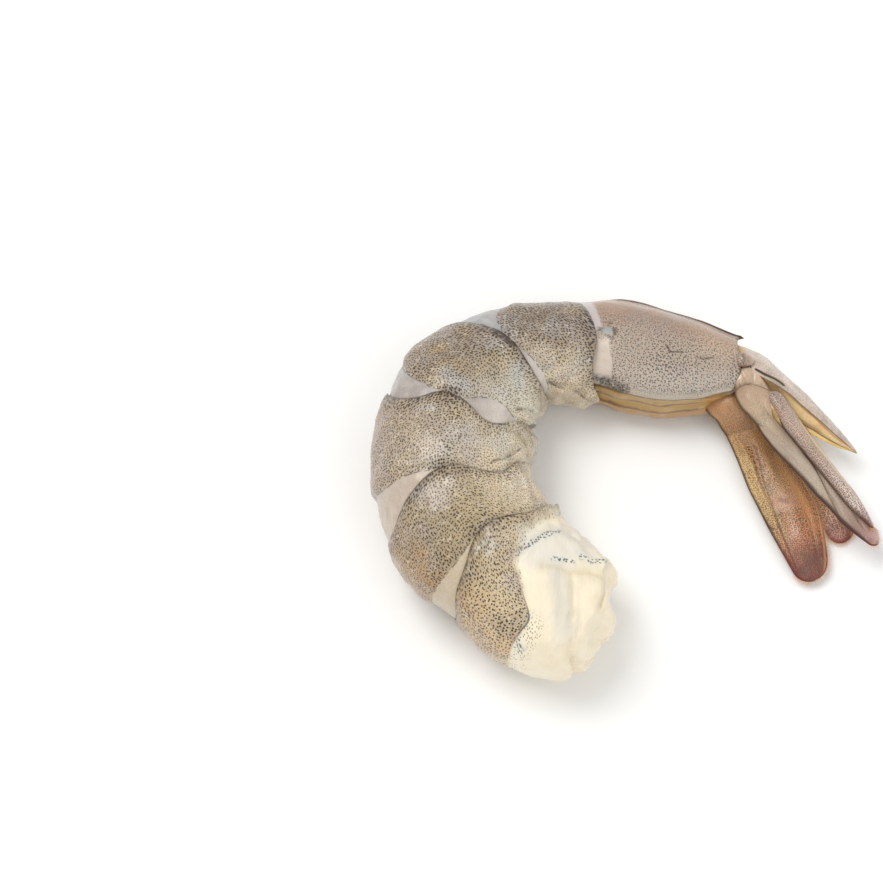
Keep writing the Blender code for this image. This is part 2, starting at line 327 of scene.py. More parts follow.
muscleLook = {
    "around": 192,
    "rows": (36, 44, 66, 74, 60, 56, 8),  # bare flesh, the five peeled segments, the stub in the shell
    "capRows": 40,
    # where the skin's front edge, then each segment's rear edge, lies from the back to the belly
    "edges": [
        (0.0, 0.0, 0.0),
        (1.01, 1.0, 0.97, 0.88, 0.78, 1.02, 1.33, 1.4, 1.34, 1.22, 1.1, 1.06, 1.04),
        (2.06, 2.07, 2.02, 2.06, 1.72, 1.5, 1.42),
        (2.99, 2.97, 3.03, 3.02, 2.6, 2.83, 2.97),
        (4.0, 3.9, 3.86, 3.96, 3.56, 3.84, 3.93),
        (4.84, 4.85, 4.87, 4.95, 4.92, 4.95, 5.08),
        (5.92, 5.9, 5.9, 5.9, 5.79, 5.79, 5.88),
        (6.06, 6.06, 6.06),
    ],
    # how far the bare facet behind each edge reaches, in the same measure
    "facets": [
        (0, 0, 0),
        (0, 0, 0),
        (0.3, 0.22, 0.12, 0.0, 0.0, 0.0, 0.0),
        (0.32, 0.29, 0.17, 0.0, 0.07, 0.02, 0.0),
        (0.32, 0.3, 0.2, 0.0, 0.47, 0.05, 0.0),
        (0.5, 0.46, 0.22, 0.02, 0.13, 0.16, 0.0),
        (0.3, 0.3, 0.3),
    ],
    "backSwell": 0.45,
    "sideSwell": 0.35,
    "bellySwell": (0.0, 0.5, -1.3, 0.7, 1.1, 0.1, 0.0),
    "step": (0.0, 0.0, 0.5, 0.5, 0.5, 0.45, 1.9),  # how far each edge stands over the next segment
    "overhang": 0.35,
    # how far the cut end stands forward, from the back to the belly
    "cutProfile": (0.2, 1.7, 2.6, 2.9, 4.1, 3.2, 1.7, 1.2, 0.0),
    "creases": [
        [(2.8, 118), (2.86, 133), (3.08, 148)],
        [(4.15, 142), (4.42, 160)],
        [(5.17, 148), (5.35, 156)],
        [(5.55, 160), (5.72, 172)],
    ],
    "pigmentRows": [
        [(0.81, 132), (1.0, 117), (1.2, 103), (1.36, 91)],
        [(0.74, 103), (0.6, 107), (0.43, 112)],
        [(0.37, 122), (0.2, 127), (0.02, 142)],
        [(0.9, 36), (0.84, 26)],
    ],
    # lines on the bare flesh, in millimetres: each fold with its depth and breadth
    "strip": [(-10.0, -15.8, 17.2), (-9.6, -18.8, 16.7), (-9.5, -20.6, 16.0), (-9.4, -22.8, 14.8)],
    "membrane": [(-13.1, -12.8, 18.0), (-10.5, -11.5, 16.9), (-7.7, -10.8, 15.0), (-5.6, -9.8, 11.2)],
    "folds": [
        ([(-8.4, -15.9, 16.7), (-8.2, -18.6, 16.4), (-8.3, -21.2, 15.7), (-8.5, -23.6, 14.2),
          (-8.4, -26.0, 12.6)], 0.32, 0.5),
        ([(-12.2, -15.1, 17.8), (-10.7, -14.9, 17.5), (-8.3, -15.6, 16.7), (-5.8, -15.3, 15.4),
          (-4.0, -15.8, 14.5)], 0.24, 0.6),
        ([(-3.8, -16.1, 13.9), (-4.0, -18.2, 14.7), (-4.5, -19.7, 15.0)], 0.5, 0.4),
        ([(-14.8, -13.4, 18.3), (-13.6, -12.0, 18.0), (-12.4, -10.8, 17.5), (-10.4, -9.6, 16.1)], 0.22, 0.35),
    ],
    "hinges": [[(2.06, 82)], [(3.03, 86)], [(3.96, 88)], [(4.98, 90)], [(5.9, 82)]],
    "yellowSpot": [[(4.42, 58), (4.48, 62)]],
    # where painted sheen lies: bluish-white highlight patches
    "coolSpots": [[(4.12, 92), (4.2, 80)], [(4.62, 128), (4.8, 118)]],
    "blotches": [[(4.9, 82), (4.94, 90), (4.93, 97)], [(4.02, 166), (4.1, 170)]],
    "knob": [[(3.98, 160), (4.08, 168)]],
}


def makeMuscle(look):
    stations = body["muscle"]
    angle = np.linspace(-0.5 * math.pi, 1.5 * math.pi, look["around"] + 1)[None, :]  # the seam is underneath
    turned = fromBack(angle)
    edges, facets = (
        np.array([roundCurve(row, angle)[0] for row in look[name]]) for name in ("edges", "facets")
    )
    segment = np.concatenate([np.full(count, i) for i, count in enumerate(look["rows"])])
    part = segment[:, None]
    share = np.concatenate([evenRows(count) for count in look["rows"]])[:, None]
    where = edges[segment] * (1 - share) + edges[segment + 1] * share
    angles = np.broadcast_to(angle, where.shape)
    plain = bodySurface(stations, where, angles)
    run = runAlong(plain, 0)
    firstRow = np.searchsorted(segment, segment)
    lastRow = np.searchsorted(segment, segment, side="right") - 1
    fromFront = run - run[firstRow]
    toRear = run[lastRow] - run
    facet = facets[segment] * (run[lastRow] - run[firstRow]) / (where[lastRow] - where[firstRow])

    c, s = np.cos(angle), np.sin(angle)
    skinned = part >= 1
    toBelly = np.where(c > 0, look["backSwell"], np.array(look["bellySwell"])[part])
    out = (look["sideSwell"] * s * s + toBelly * c * c) * np.sin(math.pi * np.clip(share, 0, 1)) ** 0.8
    step = np.array(look["step"])[part]
    step = np.where(part == 6, step, step * (0.4 + 0.6 * np.abs(c) ** 0.6))
    out -= step * (1 - rise(facet - 0.1, facet + 1.5, fromFront))
    lip = 0.12 * bump(toRear, 1.1, 0.8) - 0.2 * np.exp(-toRear / 0.16)
    out += np.where(skinned, lip, -0.22 * rise(0.0, 0.5, toRear))
    overhang = np.where(skinned & (part < 6), look["overhang"] * np.exp(-toRear / 0.3), 0.0)

    # soft lumps, more of them along the belly
    out += 0.12 * lumps(plain, 3.4) + 0.06 * lumps(plain, 1.2)
    underBelly = rise(math.radians(112), math.radians(155), turned)
    out += underBelly * (0.42 * lumps(plain, 2.4) + 0.1 * lumps(plain, 0.9))
    names = ("creases", "hinges", "knob", "pigmentRows", "yellowSpot", "coolSpots", "blotches")
    away = awayFrom(stations, plain, look, names)
    out -= 0.32 * bump(away["creases"], 0, 0.3) + 0.35 * bump(away["hinges"], 0, 1.1)
    out += 0.7 * bump(away.pop("knob"), 0, 1.0)

    places = bodySurface(stations, where, angles, out, overhang)
    cap, capShare = cutEnd(look, places[0])
    places = np.concatenate([cap, places, np.broadcast_to(places[-1].mean(0), places[:1].shape)])
    strip = distanceTo(places, np.array(look["strip"]))
    fold = np.full(strip.shape, 9.0)
    sink = 0.3 * bump(strip, 0, 1.3)
    for line, deep, wide in look["folds"]:
        toLine = distanceTo(places, np.array(line))
        fold = np.minimum(fold, toLine)
        sink += deep * bump(toLine, 0, wide)
    places[..., 2] -= sink
    places = onTable(places)

    def extend(values, capValue):
        values = np.broadcast_to(values, where.shape)
        return np.concatenate([np.broadcast_to(capValue, cap.shape[:-1]), values, values[-1:]])

    # the dots are laid out from the middle of each segment and of the upper side
    girth = runAlong(plain, 1)
    girth -= girth[:, look["around"] // 2][:, None]
    length = run - run[(firstRow + lastRow) // 2] + 40 * part
    far = 9.0
    skin = np.choose(np.minimum(part, 2), [-toRear, fromFront, far])
    marks = {
        "length": extend(length, (capShare - 1) * 9 - toRear[0] / 2),
        "girth": extend(girth, girth[0]),
        "toRear": extend(np.where(skinned, toRear, far), far),
        "fromFront": extend(fromFront, far),
        "facet": extend(np.where(part > 1, facet - fromFront, -far), -far),
        "skin": extend(skin, -toRear[0] - (1 - capShare) * 8),
        "belly": extend(turned / math.pi, turned[0] / math.pi),
        "along": extend(where / 6, 0.0),
        "strip": strip,
        "fold": fold,
        "membrane": distanceTo(places, np.array(look["membrane"])),
        **{name: extend(values, far) for name, values in away.items()},
    }
    return wrapGrid("peeledMuscle", places, marks)


def cutEnd(look, rim):  # the ragged face of bare flesh, from its middle out to the rim
    _, belly, tail, halfDepth, halfWidth, _ = sectionAt(body["muscle"], np.zeros(1))
    middle = rim.mean(0)
    share = np.linspace(0, 1, look["capRows"] + 1)[:-1, None, None] ** 0.85
    flat = middle + (rim - middle) * share
    across = ((flat - middle) @ belly[0]) / halfDepth
    upright = (flat[..., 2] - middle[2]) / halfWidth
    profile = curveThrough(look["cutProfile"], (np.clip(across, -1, 1) + 1) * 4)
    room = np.clip(1 - across**2 - upright**2, 0, 1) / np.clip(1 - across**2, 0.02, 1)
    push = profile * room**0.42
    push -= 1.5 * bump(across, -0.76, 0.055) * rise(0, 0.5, room)
    push += 0.6 * lumps(flat, 3.0) * room**0.5 + 0.32 * lumps(flat, 1.3) * room**0.5
    push += 0.1 * np.sin(9 * across + 2 * lumps(flat, 5.0)) * room
    return flat - tail[0] * push[..., None], share[..., 0]


muscleColours = {
    "back": [
        (0.22, (218, 190, 150)), (0.4, (184, 150, 110)), (0.56, (176, 157, 137)),
        (0.73, (150, 131, 113)), (0.9, (160, 143, 131)),
    ],
    "side": [
        (0.22, (210, 190, 155)), (0.4, (168, 150, 117)), (0.56, (182, 167, 146)),
        (0.73, (150, 133, 114)), (0.9, (141, 126, 110)),
    ],
    "belly": [
        (0.22, (200, 186, 158)), (0.4, (242, 225, 196)), (0.56, (214, 203, 178)),
        (0.73, (222, 216, 196)), (0.9, (218, 201, 174)),
    ],
    "facet": [
        (0.33, (203, 186, 156)), (0.5, (192, 174, 157)), (0.66, (158, 150, 145)),
        (0.82, (154, 156, 160)), (0.97, (190, 178, 166)),
    ],
    "yellow": (200, 176, 120),
    "cool": (186, 190, 192),
    "flesh": (246, 234, 208),
    "fleshShade": (240, 226, 198),
    "strip": (222, 217, 204),
    "membrane": (226, 221, 210),
    "foldLine": (206, 190, 156),
    "dot": (48, 36, 28),
    "speckle": (112, 92, 72),
    "edgeLine": (58, 48, 44),
    "blue": (58, 68, 80),
}


def paintMuscle(look):
    p = Paint("peeledMuscle", look)
    toRear, facet, skin, fromFront = p.mark("toRear"), p.mark("facet"), p.mark("skin"), p.mark("fromFront")
    belly, along, hinge = p.mark("belly"), p.mark("along"), p.mark("hinges")
    slow, patch = p.cloud(6, 2), p.cloud(2.4)
    toSide = (belly + (slow - 0.5) * 0.3).rise(0.14, 0.36)
    toBelly = (belly + (slow - 0.5) * 0.3).rise(0.42, 0.82)
    p.colour = p.mix(toSide, along.ramp("back"), along.ramp("side"))
    p.lay(toBelly, along.ramp("belly"))
    warm = patch.rise(0.54, 0.72) * (0.2 + along.near(0.56, 0.2) * 0.3 * toBelly)
    p.lay(warm, "yellow")
    washed = p.cloud(4.5)
    p.lay(washed.rise(0.52, 0.66) * 0.24, (212, 186, 142))
    p.lay(washed.rise(0.48, 0.34) * toSide * 0.3, (186, 188, 188))
    p.lay(slow.rise(0.5, 0.7) * 0.25, (176, 164, 168))
    p.lay(p.mark("yellowSpot").rise(1.2, 0.2) * 0.35, (204, 172, 104))
    # painted sheen: bluish-white highlight patches
    p.lay(p.mark("coolSpots").rise(2.0, 0.2) * 0.5, "cool")

    # pigment dots: crowded along each rear edge and at the hinges, few and small at the belly
    crowd = toRear.rise(2.4, 0.1) * (1 - belly.rise(0.78, 0.95) * 0.7)
    crowd = crowd.most(hinge.rise(2.6, 0.5)).most(patch.rise(0.52, 0.75) * 0.5)
    bare = facet.rise(-0.08, 0.08)
    softly = belly.rise(0.34, 0.5)
    onSkin = skin.rise(-0.2, 0.35) * (1 - softly) + (skin + (patch - 0.5) * 2.0).rise(-1.0, 1.0) * softly
    skinned = onSkin * (1 - bare)
    firstSegment = along.rise(0.345, 0.325)
    fade = toBelly * 0.07 + belly.rise(0.8, 0.95) * 0.08 + softly * skin.rise(3.6, 0.0) * 0.06
    # painted shade: the dots grow a little larger on the rear segments
    rearShade = along.rise(0.55, 0.68) * 0.02
    radius = 0.25 + rearShade + crowd * 0.1 + (patch - 0.5) * 0.22 - fade - firstSegment * 0.5
    small = p.spots(0.42, radius, 0.09, 0.75)
    radius = 0.245 + crowd * 0.08 + (patch - 0.5) * 0.16 - fade * 0.7
    large = p.spots(0.5, radius, 0.09, 0.75) * firstSegment
    fine = p.spots(0.24, 0.29 + crowd * 0.12 + (slow - 0.5) * 0.3, 0.14)
    p.lay(fine * (0.42 + firstSegment * 0.14) * skinned, "speckle")
    p.lay(crowd * 0.24 * skinned, "speckle")
    # painted glints: pale specks of wet highlight between the dots
    p.lay(p.patches(0.7, 0.54, 0.7, 3) * 0.32 * skinned, (238, 226, 204))
    p.lay(p.patches(3.5, 0.53, 0.7, 3) * 0.3 * skinned, (136, 118, 100))
    p.lay(small.most(large) * (0.95 - toBelly * 0.15) * skinned, "dot")

    # the bare facets behind the edges
    streak = p.patches(1.2, 0.35, 0.8, 3)
    facetTone = p.mix(belly.rise(0.55, 0.7), along.ramp("facet"), (202, 192, 183))
    facetTone = p.mix(streak * 0.35, facetTone, (216, 205, 192))
    facetTone = p.mix(p.spots(0.5, 0.1, 0.05) * 0.5, facetTone, "speckle")
    p.lay(bare * 0.95, facetTone)
    dashes = p.patches(0.7, 0.44, 0.56) * (1 - fromFront.rise(0.5, 0.2))
    p.lay(facet.near(0.05, 0.16) * dashes * 0.75, "edgeLine")

    # the dark rim of each rear edge
    rim = toRear.rise(0.34, 0.04) * (0.25 + 0.75 * p.patches(1.8, 0.42, 0.62))
    rim = rim * (1 - belly.rise(0.66, 0.85) * 0.7) * along.rise(0.985, 0.955)
    p.lay(rim * 0.75 * onSkin, "edgeLine")
    # painted shade just behind each front edge, from the second segment on, under the lip of the segment
    # before
    shade = fromFront.rise(0.9, 0.0) * along.rise(0.3, 0.34) * 0.35
    p.lay(shade, (110, 92, 78))
    # painted shade along the sunk creases
    creaseShade = p.mark("creases").rise(0.34, 0.04) * p.patches(1.2, 0.35, 0.55)
    p.lay(creaseShade * 0.6, "edgeLine")
    blotch = p.mark("blotches").rise(0.75, 0.25) * p.patches(0.6, 0.3, 0.5)
    p.lay(blotch * 0.75, "edgeLine")

    # bare flesh towards the cut end
    fibre = p.cloud(0.7, place=p.stretch(86, 8))
    strip, fold = p.mark("strip") + (slow - 0.5) * 1.4, p.mark("fold")
    skinColour = p.colour
    p.colour = p.mix(patch.rise(0.35, 0.7) * 0.6, "flesh", "fleshShade")
    p.lay(p.mark("membrane").rise(4.2, 1.4) * 0.75, "membrane")
    # the greyish strip along the sunk groove: its own paler, bluer tone, and painted shade in the groove
    p.lay(strip.rise(2.6, 0.4) * 0.7, "strip")
    p.lay(fibre.rise(0.45, 0.66) * strip.rise(3.4, 0.8) * 0.4, (204, 200, 188))
    # painted shade along the sunk folds, narrow and then broader
    p.lay(fold.rise(0.5, 0.0) * 0.35, "foldLine")
    p.lay(fold.rise(1.6, 0.2) * 0.22, "foldLine")
    nearSkin = skin.rise(-4.6, -0.3)
    strays = p.spots(0.44, 0.08 + nearSkin * 0.15, 0.05) * (patch + nearSkin * 0.14).rise(0.52, 0.6)
    strays = strays * belly.rise(0.42, 0.28) * nearSkin.rise(0.25, 0.6)
    p.lay(strays * 0.75, "edgeLine")
    inRow = p.mark("pigmentRows") + (p.cloud(1, 2) - 0.5) * 0.9
    p.lay(inRow.rise(1.5, 0.2) * 0.3, (214, 219, 218))
    p.lay(p.spots(0.42, 0.34, 0.1) * inRow.rise(0.5, 0.2) * 0.85, "blue")
    p.lay(onSkin, skinColour)
    skinEdge = skin.near(0.12, 0.24) * belly.near(0.3, 0.2) * p.patches(2, 0.25, 0.5)
    p.lay(skinEdge * 0.85, (44, 36, 34))

    p.lay(small.most(large) * onSkin.near(0.4, 0.4) * softly * 0.8, "dot")
    wet = 0.3 + (patch - 0.5) * 0.25 + (1 - onSkin) * 0.08
    relief = p.cloud(0.5, 4, 0.6) * 0.5 + p.cloud(1.6) + fibre * (1 - onSkin) * 1.2 - small * 0.12
    p.feed(p.shader.inputs["Subsurface Radius"], (1.0, 0.7, 0.45))
    return p.finish(wet, relief, 0.09, (0.32, 0.2), (0.15, 0.6), IOR=1.38)


settle(makeMuscle(muscleLook), paintMuscle(muscleColours), "peeled_muscle")


print("last shell and what it covers")

tailLook = {
    "roll": 18.0,  # how far the keel is turned up from the level
    "around": 176,
    "rows": 150,
    "front": -0.45,
    # the shell's rear edge, from the back to the belly, and its lower edge in degrees along the body
    "rear": (4.06, 4.0, 3.92, 4.06, 4.2, 4.22, 4.2),
    "lowerEdge": (149, 152, 155, 156, 155.5, 154.5, 153, 144, 134),
    "thickness": 0.26,
    "keelHeight": 0.5,
    "keelSpread": 4.5,
    "spine": 0.9,
    "backDrop": (-0.45, 0.25, 0.8, 1.05, 0.75),  # how much lower the back is than the plain loft
    "creases": [[(1.92, 90), (2.0, 93), (2.11, 96), (2.44, 94)], [(2.86, 97), (3.05, 98), (3.27, 94)]],
    "blob": [[(0.17, 84)]],
    "patch": [[(-0.2, 134), (0.05, 142), (0.28, 147), (0.5, 151)]],
    "coreRows": 110,
    "coreAround": 160,
    "coreInset": 0.42,
}


def backDrop(look, where, angle):
    away = (angle - math.radians(look["roll"]) + math.pi) % (2 * math.pi) - math.pi
    return curveThrough(look["backDrop"], np.clip(where, 0, 4)) * bump(np.degrees(away), 0, 62)


def makeLastShell(look):
    stations = body["tail"]
    keel = math.radians(look["roll"])
    side = np.linspace(-1, 1, look["around"])[None, :]
    share = evenRows(look["rows"], 0.35)[:, None]
    start = look["front"]
    guess = start + share * (4.2 - start)
    lower = np.radians(curveThrough(look["lowerEdge"], np.clip((guess + 0.3) / 4.8 * 8, 0, 8)))
    angle = keel + side * (lower - keel)
    degrees, fromKeel = np.degrees(angle), np.degrees(angle - keel)
    where = start + share * (roundCurve(look["rear"], angle) - start)
    plain = bodySurface(stations, where, angle)
    run, turns = runAlong(plain, 0), runAlong(plain, 1)
    toRear = run[-1:] - run
    edgeAway = (1 - np.abs(side)) * (lower - keel) * 7.0
    away = awayFrom(stations, plain, look, ("creases", "blob", "patch"))
    ridge = bump(fromKeel, 0, look["keelSpread"]) * rise(0.0, 1.2, where)
    out = 0.1 + look["keelHeight"] * ridge * (0.75 + 0.25 * np.sin(2.2 * where))
    out -= 0.2 * (1 - rise(-0.1, 0.4, where))  # the front facet slips under the last peeled edge
    out -= backDrop(look, where, angle)
    out += 0.05 * lumps(plain, 3.0) + 0.02 * lumps(plain, 0.9)
    out += 0.12 * bump(edgeAway, 0.5, 0.35) + 0.1 * bump(toRear, 0.5, 0.35)
    out -= 0.12 * bump(degrees, 92, 7) * rise(0.5, 1.2, where) * rise(4.0, 3.2, where)
    out -= 0.1 * bump(away["creases"], 0, 0.16)
    spine = look["spine"] * bump(fromKeel, 0, 4.0) * rise(0.86, 1.0, share) ** 1.5
    depth = look["thickness"] * np.clip(np.minimum(share, 1 - share) * 90, 0, 1)

    def both(outer, inner):  # over the outer face, and back along the inner one
        return np.concatenate([outer, inner[:, ::-1], outer[:, :1]], axis=1)

    outs = both(out, out - depth)
    places = bodySurface(stations, both(where, where), both(angle, angle), outs, both(spine, spine))
    marks = {
        "length": run - run[look["rows"] // 2],
        "girth": turns - turns[:, look["around"] // 2][:, None],
        "keel": (angle - keel) * 7.0,
        "lowerEdge": edgeAway,
        "toRear": toRear,
        "along": where / 4,
        "round": degrees / 180,
        **away,
    }
    marks = {mark: both(values, values) for mark, values in marks.items()}
    return wrapGrid("lastShell", onTable(places), marks)


def makeTailCore(look):  # the muscle inside, with the soft skin of its belly
    stations = body["tail"]
    angle = np.linspace(0, 2 * math.pi, look["coreAround"] + 1)[None, :]
    share = np.linspace(0, 1, look["coreRows"])[:, None]
    where = np.broadcast_to(-0.34 + share * 4.5, (look["coreRows"], look["coreAround"] + 1))
    angles = np.broadcast_to(angle, where.shape)
    plain = bodySurface(stations, where, angles)
    fromBelly = 180 - np.degrees(fromBack(angles - math.radians(look["roll"])))
    strip = 0.12 + 0.75 * rise(30, 6, fromBelly) * rise(4.3, 3.4, where)
    strip = strip + 0.14 * np.cos(np.radians(fromBelly * 9)) + 0.16 * lumps(plain * (0.3, 1, 1), 1.0)
    out = -look["coreInset"] - 0.1 + 0.08 * lumps(plain, 1.8) + rise(50, 40, fromBelly) * strip
    out -= 0.5 * (1 - rise(-0.1, 0.5, where)) + backDrop(look, where, angles)
    rim = bodySurface(stations, where, angles, out)
    tail = sectionAt(stations, np.array([4.16]))[2][0]
    turn = (np.linspace(0.06, 1, 20) * math.pi / 2)[:, None, None]
    back = rim[-1] + (rim[-1].mean(0) - rim[-1]) * (1 - np.cos(turn)) ** 1.25 + tail * 1.2 * np.sin(turn)
    places = onTable(np.concatenate([np.broadcast_to(rim[0].mean(0), rim[:1].shape), rim, back]))
    along = np.concatenate([where[:1, :1], where[:, :1], 4.16 + np.linspace(0.05, 0.8, 20)[:, None]]) / 4
    return wrapGrid("tailCore", places, {"fromBelly": fromBelly[:1], "along": along})


tailColours = {
    "upper": (168, 142, 123),
    "upperPink": (192, 164, 146),
    "middle": (180, 164, 148),
    "lower": (192, 180, 166),
    "edgeBand": (186, 174, 158),
    "facet": (210, 196, 182),
    "facetLilac": (200, 192, 192),
    "dot": (56, 46, 42),
    "speckle": (112, 94, 82),
    "keel": (54, 42, 38),
    "edgeLine": (96, 72, 44),
    "blob": (150, 158, 156),
    # across the belly, from its middle outwards
    "stripes": [(0.0, (112, 76, 38)), (0.06, (180, 138, 88)), (0.27, (180, 138, 88)), (0.33, (112, 76, 38)),
                (0.39, (184, 148, 90)), (0.52, (184, 148, 90)), (0.56, (112, 76, 38)), (0.61, (184, 148, 90)),
                (0.8, (184, 148, 90)), (0.86, (188, 150, 88)), (0.92, (112, 76, 38)), (1.0, (188, 150, 88))],
    "membrane": (192, 172, 146),
    "orange": (196, 148, 82),
}


def paintShell(look):
    p = Paint("lastShell", look)
    along, around, toRear = p.mark("along"), p.mark("round"), p.mark("toRear")
    keel, lower, blob = p.mark("keel"), p.mark("lowerEdge"), p.mark("blob")
    keelAway = abs(keel)
    slow, patch = p.cloud(5, 2), p.cloud(1.6)
    p.colour = p.mix((around + (slow - 0.5) * 0.2).rise(0.34, 0.52), "upper", "middle")
    p.lay((around + (slow - 0.5) * 0.15).rise(0.52, 0.78), "lower")
    p.lay(patch.rise(0.45, 0.8) * 0.5 * around.rise(0.6, 0.3), "upperPink")
    p.lay(along.rise(0.55, 0.85) * around.near(0.4, 0.2) * 0.5, (212, 184, 156))
    streak = p.cloud(0.9, place=p.stretch(-13, 14))
    p.lay(streak.rise(0.45, 0.75) * 0.5 * around.rise(0.5, 0.25), (150, 122, 108))
    p.lay(slow.rise(0.52, 0.7) * 0.35, (166, 152, 146))

    # fine dots nearly everywhere, larger ones in the lower half and by the front and rear corners
    dense = p.mark("patch").rise(1.9, 0.5).most(toRear.rise(2.2, 0.2) * around.near(0.62, 0.2))
    field = around.near(0.62, 0.22) * along.near(0.5, 0.42)
    dotted = around.rise(0.26, 0.44) * lower.rise(0.9, 1.8)
    dot = p.spots(0.43, 0.2 + field * 0.08 + dense * 0.12 + (patch - 0.5) * 0.14, 0.08) * dotted.most(dense)
    fine = p.spots(0.27, 0.27 + dense * 0.1 + (slow - 0.5) * 0.2, 0.12)
    fine = fine * around.rise(0.14, 0.3) * lower.rise(0.3, 1.2)
    p.lay(lower.rise(1.5, 0.7) * 0.8, "edgeBand")
    p.lay(fine * 0.6, "speckle")
    p.lay(dot * 0.85, "dot")
    inkHere = p.mark("patch").rise(1.8, 0.2) * p.patches(0.7, 0.25, 0.55)
    p.lay(inkHere * 0.7, "dot")

    # the bare facet in front, its lilac top and the little scale at the hinge
    wave = (patch - 0.5) * 0.05
    rough = (p.cloud(0.7, 2) - 0.5) * 0.03
    facet = (along + wave + rough).rise(0.055, 0.028) * (around + wave + rough).rise(0.48, 0.54)
    facet = facet * (around + wave + rough).rise(0.775, 0.725)
    lilac = (along + (patch - 0.5) * 0.03).rise(0.02, -0.01) * around.rise(0.5, 0.42)
    ground = p.mix(streak.rise(0.4, 0.7) * 0.5, "facet", (196, 180, 168))
    p.lay(facet * 0.95, ground)
    p.lay(lilac * 0.8, "facetLilac")
    p.lay(blob.near(1.0, 0.7) * p.patches(0.8, 0.45, 0.6) * 0.7, "dot")
    scale = (blob + (p.cloud(1.2, 2) - 0.5) * 1.6).rise(0.7, 0.4)
    p.lay(scale * 0.8, "blob")
    # painted shade along the sunk creases
    p.lay(p.mark("creases").rise(0.22, 0.04) * p.patches(1, 0.3, 0.5) * 0.8, (70, 52, 44))
    p.lay(lower.rise(0.3, 0.1) * 0.8, "edgeLine")
    p.lay(toRear.rise(0.3, 0.05) * 0.6, "edgeLine")
    double = (keelAway - 0.75).near(0.0, 0.35) * along.near(0.58, 0.14)
    tapered = keelAway + along.rise(0.26, -0.02) * 0.62
    p.lay(tapered.rise(0.62, 0.38).most(double), "keel")
    relief = p.cloud(0.6, 4) * 0.6 + streak * 0.7 - dot * 0.12
    return p.finish(0.27 + (patch - 0.5) * 0.2, relief, 0.06, (0.4, 0.16), (0.12, 0.6), IOR=1.45)


def paintTailCore(look):
    p = Paint("tailCore", look)
    fromBelly, along = p.mark("fromBelly"), p.mark("along")
    patch = p.cloud(1.6)
    across = fromBelly + (patch - 0.5) * 6
    p.colour = (across / 46).ramp("stripes")
    p.lay(along.rise(0.78, 0.95) * 0.8, "orange")
    p.lay(along.rise(1.0, 1.06), "membrane")
    p.lay(patch.rise(0.5, 0.75) * 0.3, (214, 190, 150))
    return p.finish(0.3, p.cloud(0.8, 4, place=p.stretch(-4, 5)), 0.1, (0.3, 0.2), (0.2, 0.8))


settle(makeLastShell(tailLook), paintShell(tailColours), "last_shell")
settle(makeTailCore(tailLook), paintTailCore(tailColours), "last_shell")


print("tail")


def netSurface(net, share, side, blunt, bluntness=2):  # the face laid through a net, its ends rounded off
    net = np.array(net).reshape(len(net), -1, 3) / 10
    rows, columns = net.shape[:2]
    lines = curveThrough(net, share * (rows - 1)).swapaxes(0, 1)
    face = curveThrough(lines, (side + 1) / 2 * (columns - 1)).swapaxes(0, 1)
    middle = curveThrough(lines, np.array([(columns - 1) / 2])).swapaxes(0, 1)
    size = np.ones(len(share))
    for away, reach in ((share, blunt[0]), (1 - share, blunt[1])):
        if reach:
            size = size * (1 - (1 - np.clip(away / reach, 0, 1)) ** bluntness) ** (1 / bluntness)
    return middle + (face - middle) * size[:, None, None], size[:, None]


def facing(net, share, side):  # the way out of the face at each place
    def step(alongBy, sideBy):
        ends = [netSurface(net, share + k * alongBy, side + k * sideBy, (0, 0))[0] for k in (1, -1)]
        return ends[0] - ends[1]

    way = unit(np.cross(step(0, 0.01), step(0.004, 0)))
    return way * np.sign(way[..., 2].mean())


def makePlate(name, look):  # a plate, joint or fold: its face is a net, given thickness and relief
    rows, around = look["grid"]
    angle = np.linspace(0, 2 * math.pi, around + 1)
    side = np.cos(angle)
    share = 0.002 + 0.996 * evenRows(rows, 0.8)
    square = look.get("bluntness", 2)
    face, size = netSurface(look["net"], share, side, look["blunt"], square)
    upright = np.sign(np.sin(angle)) * np.abs(np.sin(angle)) ** look.get("fullness", 0.8)
    thick = curveThrough(look["thick"], share * (len(look["thick"]) - 1))[:, None] / 2
    ends = np.minimum(size + 0.12, 1) * (np.clip(share / 0.03, 0, 1) ** 0.5)[:, None]
    height = thick * upright * ends
    sides, shares, uprights = (np.broadcast_to(v, height.shape) for v in (side, share[:, None], upright))
    for where, breadth, rises, start, stop in look.get("ribs", ()):
        line = curveThrough(where, share * (len(where) - 1))[:, None]
        fade = rise(start - 0.08, start + 0.08, shares) * rise(stop + 0.08, stop - 0.08, shares)
        height = height + rises * bump(sides, line, breadth) * fade * np.clip(upright, 0, 1) * ends
    height = height + look.get("rough", 0.04) * lumps(face, 1.8) * ends * np.abs(upright)
    places = face + facing(look["net"], share, side) * height[..., None]
    halfWidth = np.linalg.norm(face[:, 0] - face[:, around // 2], axis=-1)[:, None] / 2
    tall = runAlong(face[:, around // 4], 0)[-1]
    marks = {
        "along": shares,
        "side": sides,
        "upper": uprights,
        "leftAway": (1 + sides) * halfWidth,
        "rightAway": (1 - sides) * halfWidth,
        "tipAway": (1 - shares) * tall,
        "rootAway": shares * tall,
    }
    for mark, line in look.get("lines", {}).items():
        steps = np.linspace(0, len(line) - 1, 8 * len(line))
        at = np.stack([np.interp(steps, np.arange(len(line)), column) for column in zip(*line)], 1)
        path = [netSurface(look["net"], row[:1], row[1:], look["blunt"], square)[0][0, 0] for row in at]
        marks[mark] = distanceTo(face, path)
    places, marks = closeEnds(places, marks)
    places[..., 2] = np.maximum(places[..., 2], 0.02)
    return wrapGrid(name, places, marks)


